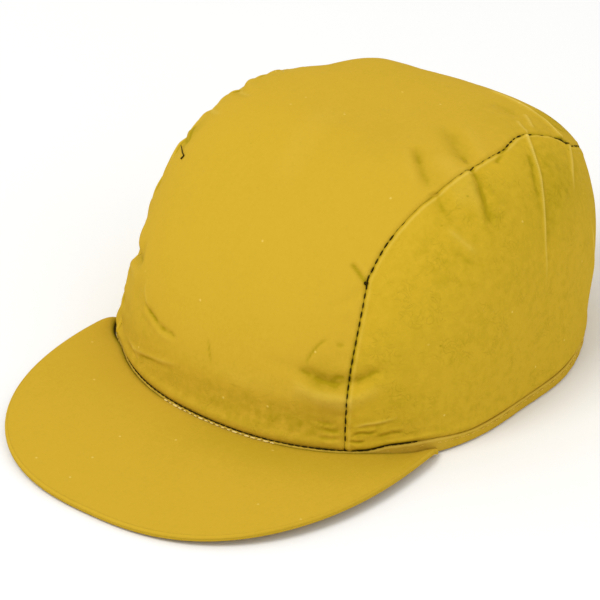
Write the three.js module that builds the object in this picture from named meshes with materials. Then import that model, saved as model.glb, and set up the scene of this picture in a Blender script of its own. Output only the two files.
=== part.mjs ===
// Cotton cycling cap as it lies on a table: a centre panel that runs from front to back, two side
// panels, a turned hem round the rim and a stiff peak sewn to the front of the hem.
// Millimetres, +Z up, the table at z = 0, the peak points along -Y and +X is the wearer's left.
// A place on the crown is given by two angles seen from the middle of the rim: its turn from the
// front towards the wearer's left, and its rise above the rim.
import * as THREE from "three";
import { mergeVertices } from "three/addons/utils/BufferGeometryUtils.js";

// Crown, measured outside the cloth
const crownWidth = 165;
const frontReach = 81; // widest line of the rim to its front
const backReach = 109; // widest line of the rim to its back
const crownHeight = 98; // table to the top of the full form, before its hollows
const crownLean = 14; // how far the top leans back
const clothThickness = 1.2;

// How square each outline is: 2 is an ellipse, and more is fuller
const planFullness = { front: 2.2, back: 2.42 };
const profileFullness = { front: 1.92, side: 3.2, back: 2.75 };
const belly = { front: 0.006, side: 0.043, back: 0.034 }; // swell above the rim, a share of the reach

// Centre panel and its two seams
const panelWidth = 108;
const panelShift = -4; // it sits a little towards the wearer's right
const seamGap = 0.4;
const seamDip = 0.9; // how deep the cloth sinks along a seam
const seamDipReach = 3.2;

// Hem
const hemHeight = 4.6;
const hemThickness = 2.0;
const pieceGap = 0.3; // between the hem and what is sewn to it
const rimLift = 2; // how far the peak holds the front of the rim off the table

// Peak
const peakWidth = 160;
const peakLength = 69; // front of the rim to the peak's tip
const peakShift = -1.3; // its outline sits a little towards the wearer's right
const peakThickness = 2.6;
const peakEndTurn = 63; // degrees from the front to each end of the peak
const peakTipWidth = 1.4; // width left at each end
const peakEndFullness = 24; // how squarely its sides turn in at the ends
const peakCamber = 0.8; // how far its middle stands above the straight line from rim to edge
const peakShoulder = 31; // front of the rim back to the peak's widest line
const peakFullness = { front: 2.5, back: 2.3 };
const peakBackReach = 60; // length of the curve that closes the outline behind its widest line
const peakSideRise = 3.4; // how much higher its side edges lie than its tip
const peakEndDrop = 2.2; // how far its ends sink below the top of the hem
const peakEndReach = 0.68; // where that starts, as a share of the way from the middle to an end
const peakSideFall = 3; // how late the side edges come down to the tip
const peakEdgeRound = 0.7;
const peakTopLeast = 0.5; // share of the way out that the flat of its top always reaches

// Mesh density
const seamStations = 44;
const centreColumns = 20;
const sideColumns = 11;
const hemStations = 72;
const peakStations = 36;
const peakRows = 7;

// Stations run over the top in degrees, and turns round the rim
const lastStation = 180;
const fullTurn = 360;

// Working steps
const halvings = 40; // of the lean at which the form reaches a seam
const slopeStep = 0.004; // radians to either side of a place where its slope is taken
const turnStep = 0.5; // degrees to either side of a place on the rim
const sameWithin = 1e-3; // corners nearer than this are one corner
const nearlyLevel = 1e-6;

// How far the two seams lie from the middle of the centre panel, as shares of panelWidth, against
// degrees from the front of the rim over the top to its back. The panel has slid to the wearer's
// right over the front of the crown. A corner is a kink in the seams.
const seamTable = [
  { station: 0, left: 0.525, right: 0.56 },
  { station: 22, left: 0.508, right: 0.613 },
  { station: 34, left: 0.5, right: 0.64 },
  { station: 43, left: 0.487, right: 0.649 },
  { station: 50, left: 0.467, right: 0.655, corner: true },
  { station: 59, left: 0.472, right: 0.65 },
  { station: 68, left: 0.489, right: 0.63 },
  { station: 79, left: 0.513, right: 0.62 },
  { station: 92, left: 0.524, right: 0.587 },
  { station: 104, left: 0.522, right: 0.55 },
  { station: 113, left: 0.499, right: 0.52 },
  { station: 122, left: 0.522, right: 0.508 },
  { station: 132, left: 0.552, right: 0.503 },
  { station: 143, left: 0.502, right: 0.49 },
  { station: 160, left: 0.455, right: 0.455 },
  { station: 180, left: 0.4, right: 0.4 },
];

// Broad hollows (height below 0) and fullness of the crown. Turn, rise and spread are in degrees and
// height is a share of crownHeight.
const fullnessTable = [
  { turn: 180, rise: 60, spread: 30, height: -0.08 },
  { turn: 40, rise: 55, spread: 28, height: -0.042 },
  { turn: -40, rise: 55, spread: 28, height: -0.042 },
  { turn: -58, rise: 34, spread: 22, height: -0.026 },
  { turn: -64, rise: 11, spread: 13, height: 0.022 },
  { turn: 150, rise: 44, spread: 10, height: 0.014 },
  { turn: 124, rise: 0, spread: 18, height: 0.014 },
  { turn: 112, rise: 0, spread: 12, height: 0.018 },
  { turn: 141, rise: 5, spread: 9, height: -0.015 },
  { turn: -64, rise: 19, spread: 7, height: -0.024 },
  { turn: -131, rise: 46, spread: 12, height: -0.018 },
];

// Folds and creases of the cloth. Each follows its list of [turn, rise] places. Width is in degrees,
// and height is a share of crownHeight, below 0 for a valley.
const foldTable = [
  { through: [[118, 71], [97, 65], [84, 51]], width: 4.0, height: -0.012 },
  { through: [[82, 72], [69, 61], [66, 50]], width: 3.6, height: -0.01 },
  { through: [[78, 68], [75, 54]], width: 3.6, height: 0.009 },
  { through: [[136, 58], [120, 51], [108, 45], [100, 32]], width: 2.6, height: 0.018 },
  { through: [[168, 46], [148, 45], [132, 41], [124, 31]], width: 3.0, height: 0.018 },
  { through: [[150, 60], [139, 50], [126, 43]], width: 3.4, height: -0.016 },
  { through: [[22, 22], [34, 18], [52, 21]], width: 3.6, height: -0.017 },
  { through: [[28, 29], [44, 28]], width: 4.5, height: 0.01 },
  { through: [[36, 6], [52, 8], [66, 11]], width: 3.0, height: -0.009 },
  { through: [[-46, 17], [-30, 18], [-17, 13]], width: 3.2, height: -0.016 },
  { through: [[-44, 8], [-24, 9], [-10, 12]], width: 3.4, height: 0.011 },
  { through: [[-52, 27], [-49, 23]], width: 4.2, height: -0.026 },
  { through: [[34, 49], [40, 44]], width: 2.4, height: -0.012 },
  { through: [[-84, 66], [-74, 52]], width: 4.0, height: -0.017 },
  { through: [[-112, 66], [-98, 56], [-92, 44]], width: 3.8, height: -0.018 },
  { through: [[-142, 52], [-120, 44], [-108, 30]], width: 3.2, height: 0.016 },
  { through: [[-60, 14], [-80, 10], [-104, 13]], width: 4.0, height: -0.011 },
  { through: [[140, 10], [150, 16]], width: 7.0, height: -0.02 },
  { through: [[172, 30], [176, 14]], width: 4.0, height: -0.012 },
  { through: [[-164, 34], [-170, 12]], width: 4.0, height: -0.012 },
];

// Section of the hem: out is a share of hemThickness from its inner to its outer face, and up a share
// of its height.
const hemSection = [
  { out: 0.0, up: 0.2 },
  { out: 0.22, up: 0.0 },
  { out: 0.78, up: 0.0 },
  { out: 1.0, up: 0.22 },
  { out: 1.0, up: 0.8 },
  { out: 0.9, up: 1.0 },
  { out: 0.0, up: 1.0 },
];

const clothYellow = new THREE.Color(0xd8b134);
const hemYellow = new THREE.Color(0xd2ab30);
const clothRoughness = 0.85;

const rimBase = hemHeight + pieceGap; // height of the crown's lower edge where the rim lies flat
const crownRise = crownHeight - rimBase;
const rimFront = -frontReach;

function lerp(from, to, share) {
  return from + (to - from) * share;
}

function radians(degrees) {
  return THREE.MathUtils.degToRad(degrees);
}

// Smooth value of one column of a table against another, with a kink at each corner row
function tableValue(rows, key, column, at) {
  const last = rows.length - 1;
  const i = Math.max(0, Math.min(last - 1, rows.findIndex((row) => row[key] >= at) - 1));
  const slope = (a, b) => (rows[b][column] - rows[a][column]) / (rows[b][key] - rows[a][key]);
  const chord = slope(i, i + 1);
  const startSlope = i === 0 || rows[i].corner ? chord : slope(i - 1, i + 1);
  const endSlope = i + 1 === last || rows[i + 1].corner ? chord : slope(i, i + 2);
  const span = rows[i + 1][key] - rows[i][key];
  const t = (at - rows[i][key]) / span;
  const ease = t * t * (3 - 2 * t);
  const swing = span * t * (1 - t);
  return lerp(rows[i][column], rows[i + 1][column], ease) + swing * ((1 - t) * startSlope - t * endSlope);
}

// Unit vector from the middle of the rim to a place given by turn and rise
function placeDirection(turn, rise) {
  const level = Math.cos(radians(rise));
  return new THREE.Vector3(
    Math.sin(radians(turn)) * level,
    -Math.cos(radians(turn)) * level,
    Math.sin(radians(rise)),
  );
}

const hollows = fullnessTable.map((row) => ({
  at: placeDirection(row.turn, row.rise),
  spread: radians(row.spread),
  height: row.height * crownHeight,
}));

const folds = foldTable.map((row) => ({
  path: row.through.map(([turn, rise]) => placeDirection(turn, rise)),
  width: radians(row.width),
  height: row.height * crownHeight,
}));

// Angle between a direction and the nearest place on a fold's path
function angleToPath(direction, path) {
  let nearest = Math.PI;
  const segment = new THREE.Vector3();
  const place = new THREE.Vector3();
  for (let i = 0; i + 1 < path.length; i++) {
    segment.subVectors(path[i + 1], path[i]);
    place.subVectors(direction, path[i]);
    const share = THREE.MathUtils.clamp(place.dot(segment) / segment.lengthSq(), 0, 1);
    place.copy(path[i]).addScaledVector(segment, share);
    nearest = Math.min(nearest, direction.angleTo(place));
  }
  return nearest;
}

function bell(distance, width) {
  return Math.exp(-((distance / width) ** 2));
}

// Distance from the middle of the rim to the full form of the crown, without hollows and folds
function fullReach(direction) {
  const level = Math.hypot(direction.x, direction.y);
  const side = level > 0 ? Math.abs(direction.x) / level : 1;
  const along = level > 0 ? Math.abs(direction.y) / level : 0;
  const end = direction.y < 0 ? "front" : "back";
  const endReach = direction.y < 0 ? frontReach : backReach;
  const plan = planFullness[end];
  const rim = ((side / (crownWidth / 2)) ** plan + (along / endReach) ** plan) ** (-1 / plan);
  const share = along * along;
  const fullness = lerp(profileFullness.side, profileFullness[end], share);
  const swell = lerp(belly.side, belly[end], share);
  const high = Math.max(direction.z, 0);
  const reach = ((level / rim) ** fullness + (high / crownRise) ** fullness) ** (-1 / fullness);
  return reach * (1 + swell * (2 * level * high) ** 2);
}

function clothReach(direction) {
  let reach = fullReach(direction);
  for (const hollow of hollows) reach += hollow.height * bell(direction.angleTo(hollow.at), hollow.spread);
  for (const fold of folds) reach += fold.height * bell(angleToPath(direction, fold.path), fold.width);
  return reach;
}

// Unit vector at a station, degrees over the crown from front to back, leaning sideways to the left
function stationDirection(station, lean) {
  const angle = radians(station);
  const flat = Math.cos(lean);
  return new THREE.Vector3(Math.sin(lean), -Math.cos(angle) * flat, Math.sin(angle) * flat);
}

function seamOffset(station, side) {
  const share = tableValue(seamTable, "station", side > 0 ? "left" : "right", station);
  return panelShift + side * share * panelWidth;
}

// Sideways lean at which the form reaches a given x on a station, found by halving
function leanAt(station, x) {
  const side = Math.sign(x);
  let low = 0;
  let high = Math.PI / 2;
  for (let step = 0; step < halvings; step++) {
    const middle = (low + high) / 2;
    const direction = stationDirection(station, side * middle);
    if (fullReach(direction) * Math.abs(direction.x) < Math.abs(x)) low = middle;
    else high = middle;
  }
  return side * low;
}

// Height of the rim above where it would lie flat, as the peak holds its front up
function liftAt(y) {
  const share = Math.max(0, -y / frontReach);
  return rimLift * share * share;
}

// Depth of the cloth along the two seams
function seamDepth(direction) {
  const station = THREE.MathUtils.radToDeg(Math.atan2(Math.max(direction.z, 0), -direction.y));
  const x = fullReach(direction) * direction.x;
  const left = bell(x - seamOffset(station, 1), seamDipReach);
  const right = bell(x - seamOffset(station, -1), seamDipReach);
  return seamDip * Math.max(left, right);
}

// Place at a distance from the middle of the rim, once the crown leans and its front is held up
function crownPlace(direction, reach) {
  const point = direction.clone().multiplyScalar(reach);
  const height = point.z / crownRise;
  point.z += rimBase + liftAt(point.y) * Math.max(0, 1 - height);
  point.y += crownLean * height;
  return point;
}

// Outside of the cloth in a direction from the middle of the rim
function clothPoint(direction) {
  return crownPlace(direction, clothReach(direction) - seamDepth(direction));
}

// Outward normal of the cloth
function clothNormal(direction) {
  const across = new THREE.Vector3(0, 0, 1).cross(direction);
  if (across.lengthSq() < nearlyLevel) across.set(1, 0, 0);
  across.normalize();
  const up = direction.clone().cross(across).normalize();
  const slopeAlong = (axis) => {
    const ahead = direction.clone().addScaledVector(axis, slopeStep).normalize();
    const behind = direction.clone().addScaledVector(axis, -slopeStep).normalize();
    return clothPoint(ahead).sub(clothPoint(behind));
  };
  return slopeAlong(across).cross(slopeAlong(up)).normalize();
}

// Outer and inner face of the cloth in a direction. The lower edge is cut square to the table.
function clothWall(direction) {
  const outer = clothPoint(direction);
  const normal = clothNormal(direction);
  if (normal.dot(direction) < 0) normal.negate();
  if (direction.z < nearlyLevel) normal.setZ(0).normalize();
  return { outer, inner: outer.clone().addScaledVector(normal, -clothThickness) };
}

// Closed mesh between the two faces of a grid of walls
function shellGeometry(grid) {
  const positions = [];
  const corner = (point) => positions.push(point.x, point.y, point.z);
  const quad = (a, b, c, d) => [a, b, c, a, c, d].forEach(corner);
  const rows = grid.length - 1;
  const columns = grid[0].length - 1;
  for (let i = 0; i < rows; i++) {
    for (let j = 0; j < columns; j++) {
      const [a, b, c, d] = [grid[i][j], grid[i][j + 1], grid[i + 1][j + 1], grid[i + 1][j]];
      quad(a.outer, b.outer, c.outer, d.outer);
      quad(d.inner, c.inner, b.inner, a.inner);
    }
  }
  const edge = (a, b) => quad(b.outer, a.outer, a.inner, b.inner);
  for (let j = 0; j < columns; j++) {
    edge(grid[0][j], grid[0][j + 1]);
    edge(grid[rows][j + 1], grid[rows][j]);
  }
  for (let i = 0; i < rows; i++) {
    edge(grid[i + 1][0], grid[i][0]);
    edge(grid[i][columns], grid[i + 1][columns]);
  }
  return closedGeometry(positions);
}

// Closed mesh round a loop of equal closed sections
function ringGeometry(sections) {
  const positions = [];
  const count = sections[0].length;
  sections.forEach((section, i) => {
    const next = sections[(i + 1) % sections.length];
    for (let j = 0; j < count; j++) {
      const k = (j + 1) % count;
      for (const point of [section[j], section[k], next[k], section[j], next[k], next[j]]) {
        positions.push(point.x, point.y, point.z);
      }
    }
  });
  return closedGeometry(positions);
}

// Joins shared corners, drops triangles without area and turns the faces outwards
function closedGeometry(positions) {
  const loose = new THREE.BufferGeometry();
  loose.setAttribute("position", new THREE.Float32BufferAttribute(positions, 3));
  const merged = mergeVertices(loose, sameWithin);
  const index = merged.index.array;
  const place = merged.attributes.position;
  const kept = [];
  const [a, b, c] = [new THREE.Vector3(), new THREE.Vector3(), new THREE.Vector3()];
  let volume = 0;
  for (let i = 0; i < index.length; i += 3) {
    const [p, q, r] = [index[i], index[i + 1], index[i + 2]];
    if (p === q || q === r || r === p) continue;
    kept.push(p, q, r);
    a.fromBufferAttribute(place, p);
    b.fromBufferAttribute(place, q);
    c.fromBufferAttribute(place, r);
    volume += a.dot(b.cross(c));
  }
  if (volume < 0) kept.reverse();
  merged.setIndex(kept);
  merged.computeVertexNormals();
  return merged;
}

// Directions from the right seam to the left one at each station
function centrePanel() {
  const grid = [];
  for (let i = 0; i <= seamStations; i++) {
    const station = (lastStation * i) / seamStations;
    const right = leanAt(station, seamOffset(station, -1) + seamGap / 2);
    const left = leanAt(station, seamOffset(station, 1) - seamGap / 2);
    const row = [];
    for (let j = 0; j <= centreColumns; j++) {
      row.push(clothWall(stationDirection(station, lerp(right, left, j / centreColumns))));
    }
    grid.push(row);
  }
  return shellGeometry(grid);
}

// A side panel: each of its lines runs from the seam down to the rim. Side is 1 for the wearer's left.
function sidePanel(side) {
  const seam = [];
  for (let i = 0; i <= seamStations; i++) {
    const station = (lastStation * i) / seamStations;
    seam.push(stationDirection(station, leanAt(station, seamOffset(station, side) + (side * seamGap) / 2)));
  }
  const turnOf = (direction) => THREE.MathUtils.radToDeg(Math.atan2(direction.x, -direction.y));
  const firstTurn = turnOf(seam[0]);
  const lastTurn = turnOf(seam[seamStations]);
  const grid = seam.map((top, i) => {
    const bottom = placeDirection(lerp(firstTurn, lastTurn, i / seamStations), 0);
    const row = [];
    for (let j = 0; j <= sideColumns; j++) {
      row.push(clothWall(top.clone().lerp(bottom, j / sideColumns).normalize()));
    }
    return row;
  });
  return shellGeometry(grid);
}

// Lower edge of the crown at a turn from the front, and the level normal that points out of it
function rimPlace(turn) {
  const at = (angle) => {
    const direction = placeDirection(angle, 0);
    return crownPlace(direction, clothReach(direction));
  };
  const ahead = at(turn + turnStep).sub(at(turn - turnStep));
  return { point: at(turn), outward: new THREE.Vector3(ahead.y, -ahead.x, 0).normalize() };
}

// The hem goes all round under the crown, flush with the outside of the cloth
function hemBand() {
  const sections = [];
  for (let i = 0; i < hemStations; i++) {
    const { point, outward } = rimPlace((fullTurn * i) / hemStations);
    sections.push(
      hemSection.map((row) => {
        const place = point.clone().addScaledVector(outward, (row.out - 1) * hemThickness);
        place.z += row.up * hemHeight - rimBase;
        return place;
      }),
    );
  }
  return ringGeometry(sections);
}

// Power that keeps its sign, for the squared-off outline of the peak
function signedPower(value, power) {
  return Math.sign(value) * Math.abs(value) ** power;
}

// Outline of the peak seen from above, at an angle from its tip
function peakOutline(angle) {
  const part = Math.abs(angle) < Math.PI / 2 ? "front" : "back";
  const power = 2 / peakFullness[part];
  const widest = rimFront + peakShoulder;
  const reach = part === "front" ? peakLength + peakShoulder : peakBackReach;
  return {
    x: (peakWidth / 2) * signedPower(Math.sin(angle), power),
    y: widest - reach * signedPower(Math.cos(angle), power),
  };
}

// Angle on the outline behind the peak's widest line that is level with a given y
function outlineAngleAt(y) {
  const share = (y - rimFront - peakShoulder) / peakBackReach;
  return Math.PI / 2 + Math.asin(share ** (peakFullness.back / 2));
}

// The peak: each of its lines runs from the hem out to the edge
function peak() {
  const lastRoot = rimPlace(peakEndTurn);
  const endAngle = outlineAngleAt(lastRoot.point.y);
  const grid = [];
  for (let i = 0; i <= peakStations; i++) {
    const share = lerp(-1, 1, i / peakStations);
    const { point, outward } = rimPlace(share * peakEndTurn);
    const root = point.clone().addScaledVector(outward, pieceGap);
    const drop = THREE.MathUtils.smoothstep(Math.abs(share), peakEndReach, 1) * peakEndDrop;
    root.z -= pieceGap + drop;
    const outline = peakOutline(share * endAngle);
    const ending = Math.abs(share) ** peakEndFullness;
    const edge = new THREE.Vector3(outline.x + peakShift, outline.y, 0);
    const end = root.clone().addScaledVector(outward, peakTipWidth);
    edge.lerp(end, ending);
    const ahead = THREE.MathUtils.clamp((rimFront - edge.y) / peakLength, 0, 1);
    edge.z = lerp(peakThickness + peakSideRise * (1 - ahead ** peakSideFall), root.z, ending);
    const width = edge.distanceTo(root);
    const row = [];
    for (let j = 0; j <= peakRows; j++) {
      const out = j === peakRows ? 1 : (j / (peakRows - 1)) * Math.max(peakTopLeast, 1 - peakEdgeRound / width);
      const outer = root.clone().lerp(edge, out);
      outer.z += peakCamber * Math.sin(Math.PI * out) * (1 - ending);
      const inner = outer.clone();
      inner.z -= peakThickness;
      if (j === peakRows) {
        outer.z -= peakEdgeRound;
        inner.z += peakEdgeRound;
      }
      row.push({ outer, inner });
    }
    grid.push(row);
  }
  return shellGeometry(grid);
}

function clothMaterial(color) {
  return new THREE.MeshStandardMaterial({ color, roughness: clothRoughness, metalness: 0 });
}

const cap = new THREE.Group();
const pieces = [
  ["crown_center_panel", centrePanel(), clothYellow],
  ["side_panel_left", sidePanel(1), clothYellow],
  ["side_panel_right", sidePanel(-1), clothYellow],
  ["hem_band", hemBand(), hemYellow],
  ["peak", peak(), clothYellow],
];
for (const [name, geometry, color] of pieces) {
  const mesh = new THREE.Mesh(geometry, clothMaterial(color));
  mesh.name = name;
  cap.add(mesh);
}

// The origin is on the table, under the middle of the cap
const box = new THREE.Box3().setFromObject(cap, true);
const middle = box.getCenter(new THREE.Vector3());
cap.position.set(-middle.x, -middle.y, -box.min.z);

export default cap;
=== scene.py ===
# A yellow cotton cycling cap lying on a pale table, dressed over its CAD frame.
import math
import bmesh
import bpy
import numpy as np
from mathutils import Matrix, Vector, noise


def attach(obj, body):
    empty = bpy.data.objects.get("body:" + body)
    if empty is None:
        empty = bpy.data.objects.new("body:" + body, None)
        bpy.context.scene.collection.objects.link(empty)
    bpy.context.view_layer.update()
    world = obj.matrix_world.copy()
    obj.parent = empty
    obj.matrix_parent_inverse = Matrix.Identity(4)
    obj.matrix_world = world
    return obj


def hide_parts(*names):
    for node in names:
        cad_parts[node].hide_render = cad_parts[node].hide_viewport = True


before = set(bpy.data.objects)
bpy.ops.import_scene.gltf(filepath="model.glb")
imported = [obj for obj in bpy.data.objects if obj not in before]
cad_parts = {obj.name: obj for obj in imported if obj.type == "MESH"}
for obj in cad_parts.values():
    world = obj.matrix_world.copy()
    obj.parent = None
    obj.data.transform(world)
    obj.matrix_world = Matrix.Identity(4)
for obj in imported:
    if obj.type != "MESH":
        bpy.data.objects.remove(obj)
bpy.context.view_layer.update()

mm = 0.001
capMiddle = np.array([-0.320, 19.140, 0.0])  # middle of the rim in the part's frame, mm

# Camera and light
view = dict(turn=36.5, rise=31.5, roll=1.0, distance=1400.0, lens=214.3, aimAcross=-14.67, aimUp=18.44)
studio = dict(
    floorColour=(0.86, 0.86, 0.85, 1.0),
    skyColour=(1.0, 1.0, 1.0, 1.0),
    skyStrength=0.86,
    keyTurn=-14.0,
    keyRise=60.0,
    keyPower=11.0,
    keySize=0.8,
    fillTurn=112.0,
    fillRise=14.0,
    fillPower=3.0,
    fillSize=1.2,
)


def viewAxes(turn, rise, roll):
    turn, rise, roll = math.radians(turn), math.radians(rise), math.radians(roll)
    across = Vector((math.cos(turn), math.sin(turn), 0.0))
    towards = Vector((math.sin(turn) * math.cos(rise), -math.cos(turn) * math.cos(rise), math.sin(rise)))
    up = towards.cross(across)
    tiltedAcross = across * math.cos(roll) + up * math.sin(roll)
    tiltedUp = up * math.cos(roll) - across * math.sin(roll)
    return tiltedAcross, tiltedUp, towards


def makeCamera():
    across, up, towards = viewAxes(view["turn"], view["rise"], view["roll"])
    middle = Vector(capMiddle) * mm
    place = middle + towards * view["distance"] * mm
    aim = middle + across * view["aimAcross"] * mm + up * view["aimUp"] * mm
    back = (place - aim).normalized()
    right = up.cross(back).normalized()
    trueUp = back.cross(right)
    data = bpy.data.cameras.new("photoCamera")
    data.lens = view["lens"]
    data.sensor_width = 36.0
    data.clip_start = 0.05
    data.clip_end = 20.0
    camera = bpy.data.objects.new("photoCamera", data)
    camera.matrix_world = Matrix((
        (right.x, trueUp.x, back.x, place.x),
        (right.y, trueUp.y, back.y, place.y),
        (right.z, trueUp.z, back.z, place.z),
        (0.0, 0.0, 0.0, 1.0),
    ))
    bpy.context.collection.objects.link(camera)
    bpy.context.scene.camera = camera


def makeAreaLight(name, turn, rise, power, size):
    towards = viewAxes(turn, rise, 0.0)[2]
    data = bpy.data.lights.new(name, "AREA")
    data.shape = "DISK"
    data.size = size
    data.energy = power
    lamp = bpy.data.objects.new(name, data)
    lamp.location = Vector(capMiddle) * mm + towards * 1.6
    lamp.rotation_euler = towards.to_track_quat("Z", "Y").to_euler()
    bpy.context.collection.objects.link(lamp)


makeCamera()
makeAreaLight("keyLight", studio["keyTurn"], studio["keyRise"], studio["keyPower"], studio["keySize"])
makeAreaLight("fillLight", studio["fillTurn"], studio["fillRise"], studio["fillPower"], studio["fillSize"])
sky = bpy.data.worlds.new("studioSky")
sky.use_nodes = True
sky.node_tree.nodes["Background"].inputs["Color"].default_value = studio["skyColour"]
sky.node_tree.nodes["Background"].inputs["Strength"].default_value = studio["skyStrength"]
bpy.context.scene.world = sky
bpy.context.scene.view_settings.view_transform = "Standard"
print("camera and lights are set")


# Shader maths: one socket of a node tree, so that a pattern can be written as a sum
class Wire:
    def __init__(self, tree, socket=None):
        self.tree = tree
        self.socket = socket

    def node(self, kind, settings=None, sockets=None, output=0):
        made = self.tree.nodes.new(kind)
        for name, value in (settings or {}).items():
            if name == "stops":
                setStops(made.color_ramp, value)
            else:
                setattr(made, name, value)
        for name, value in (sockets or {}).items():
            if isinstance(value, Wire):
                self.tree.links.new(value.socket, made.inputs[name])
            else:
                made.inputs[name].default_value = value
        return Wire(self.tree, made.outputs[output])

    def out(self, name):
        return Wire(self.tree, self.socket.node.outputs[name])

    def maths(self, operation, *values):
        return self.node("ShaderNodeMath", {"operation": operation}, dict(enumerate(values)))

    def __add__(self, other):
        return self.maths("ADD", self, other)

    def __radd__(self, other):
        return self.maths("ADD", other, self)

    def __sub__(self, other):
        return self.maths("SUBTRACT", self, other)

    def __rsub__(self, other):
        return self.maths("SUBTRACT", other, self)

    def __mul__(self, other):
        return self.maths("MULTIPLY", self, other)

    def __rmul__(self, other):
        return self.maths("MULTIPLY", other, self)

    def sine(self):
        return self.maths("SINE", self)

    def size(self):
        return self.maths("ABSOLUTE", self)

    def ramp(self, low, high):
        settings = {"clamp": True}
        sockets = {"Value": self, "From Min": low, "From Max": high, "To Min": 0.0, "To Max": 1.0}
        return self.node("ShaderNodeMapRange", settings, sockets)


def setStops(ramp, stops):
    while len(ramp.elements) < len(stops):
        ramp.elements.new(0.5)
    for element, (place, colour) in zip(ramp.elements, stops):
        element.position = place
        element.color = colour


def blendColours(wire, share, first, second):
    return wire.node("ShaderNodeMix", {"data_type": "RGBA"}, {0: share, 6: first, 7: second}, 2)


# Cotton cloth. Reliefs are in mm and sizes are patches per metre.
yellowCotton = dict(
    colour=(0.565, 0.360, 0.026, 1.0),
    # shadeColour serves the cloth's own uneven tone and painted shade; liftColour serves painted highlights
    # and pale lint
    shadeColour=(0.385, 0.268, 0.007, 1.0),
    liftColour=(0.860, 0.650, 0.150, 1.0),
    # creaseColour is painted shade for the darkest crease lines
    creaseColour=(0.05, 0.034, 0.002, 1.0),
    threadPitch=0.55,  # mm between neighbouring threads
    weaveRelief=0.05,
    slubRelief=0.04,
    slubSizes=(1600.0, 90.0),  # across a thicker thread and along it
    grainRelief=0.03,
    grainSize=900.0,
    crumpleSize=310.0,
    crumpleRelief=0.6,
    wrinkleSize=190.0,
    wrinkleRelief=0.13,
    patchSize=38.0,
    lintSize=58.0,
    lintRelief=0.15,
    roughness=0.84,
    sheen=0.004,
)
# how far each mark takes the cloth towards its shade, and towards its lift colour. Fold, crease and the
# shade marks are painted shade, and painted highlight on ridges and pale lines; patches, grain, slub, soil
# and lint are the cloth's own
cottonShades = dict(
    patches=0.07,
    grain=0.35,
    slub=0.12,
    crumple=0.95,
    wrinkle=0.19,
    soil=0.8,
    fold=0.30,
    foldCrumple=2.0,
    crease=1.6,
    grime=0.82,
    paintedShadePatches=0.36,
)
cottonLights = dict(fold=0.12, crease=0.6, lint=0.45)


def finishMaterial(material, wire, colour, roughness, normal, sheen):
    shader = wire.node("ShaderNodeBsdfPrincipled", {}, {
        "Base Color": colour,
        "Roughness": roughness,
        "Normal": normal,
        "Sheen Weight": sheen,
        "Sheen Roughness": 0.45,
        "Specular IOR Level": 0.02,
    })
    output = wire.tree.nodes.new("ShaderNodeOutputMaterial")
    wire.tree.links.new(shader.socket, output.inputs["Surface"])
    return material


def startMaterial(name):
    material = bpy.data.materials.new(name)
    material.use_nodes = True
    material.node_tree.nodes.clear()
    return material, Wire(material.node_tree)


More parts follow.
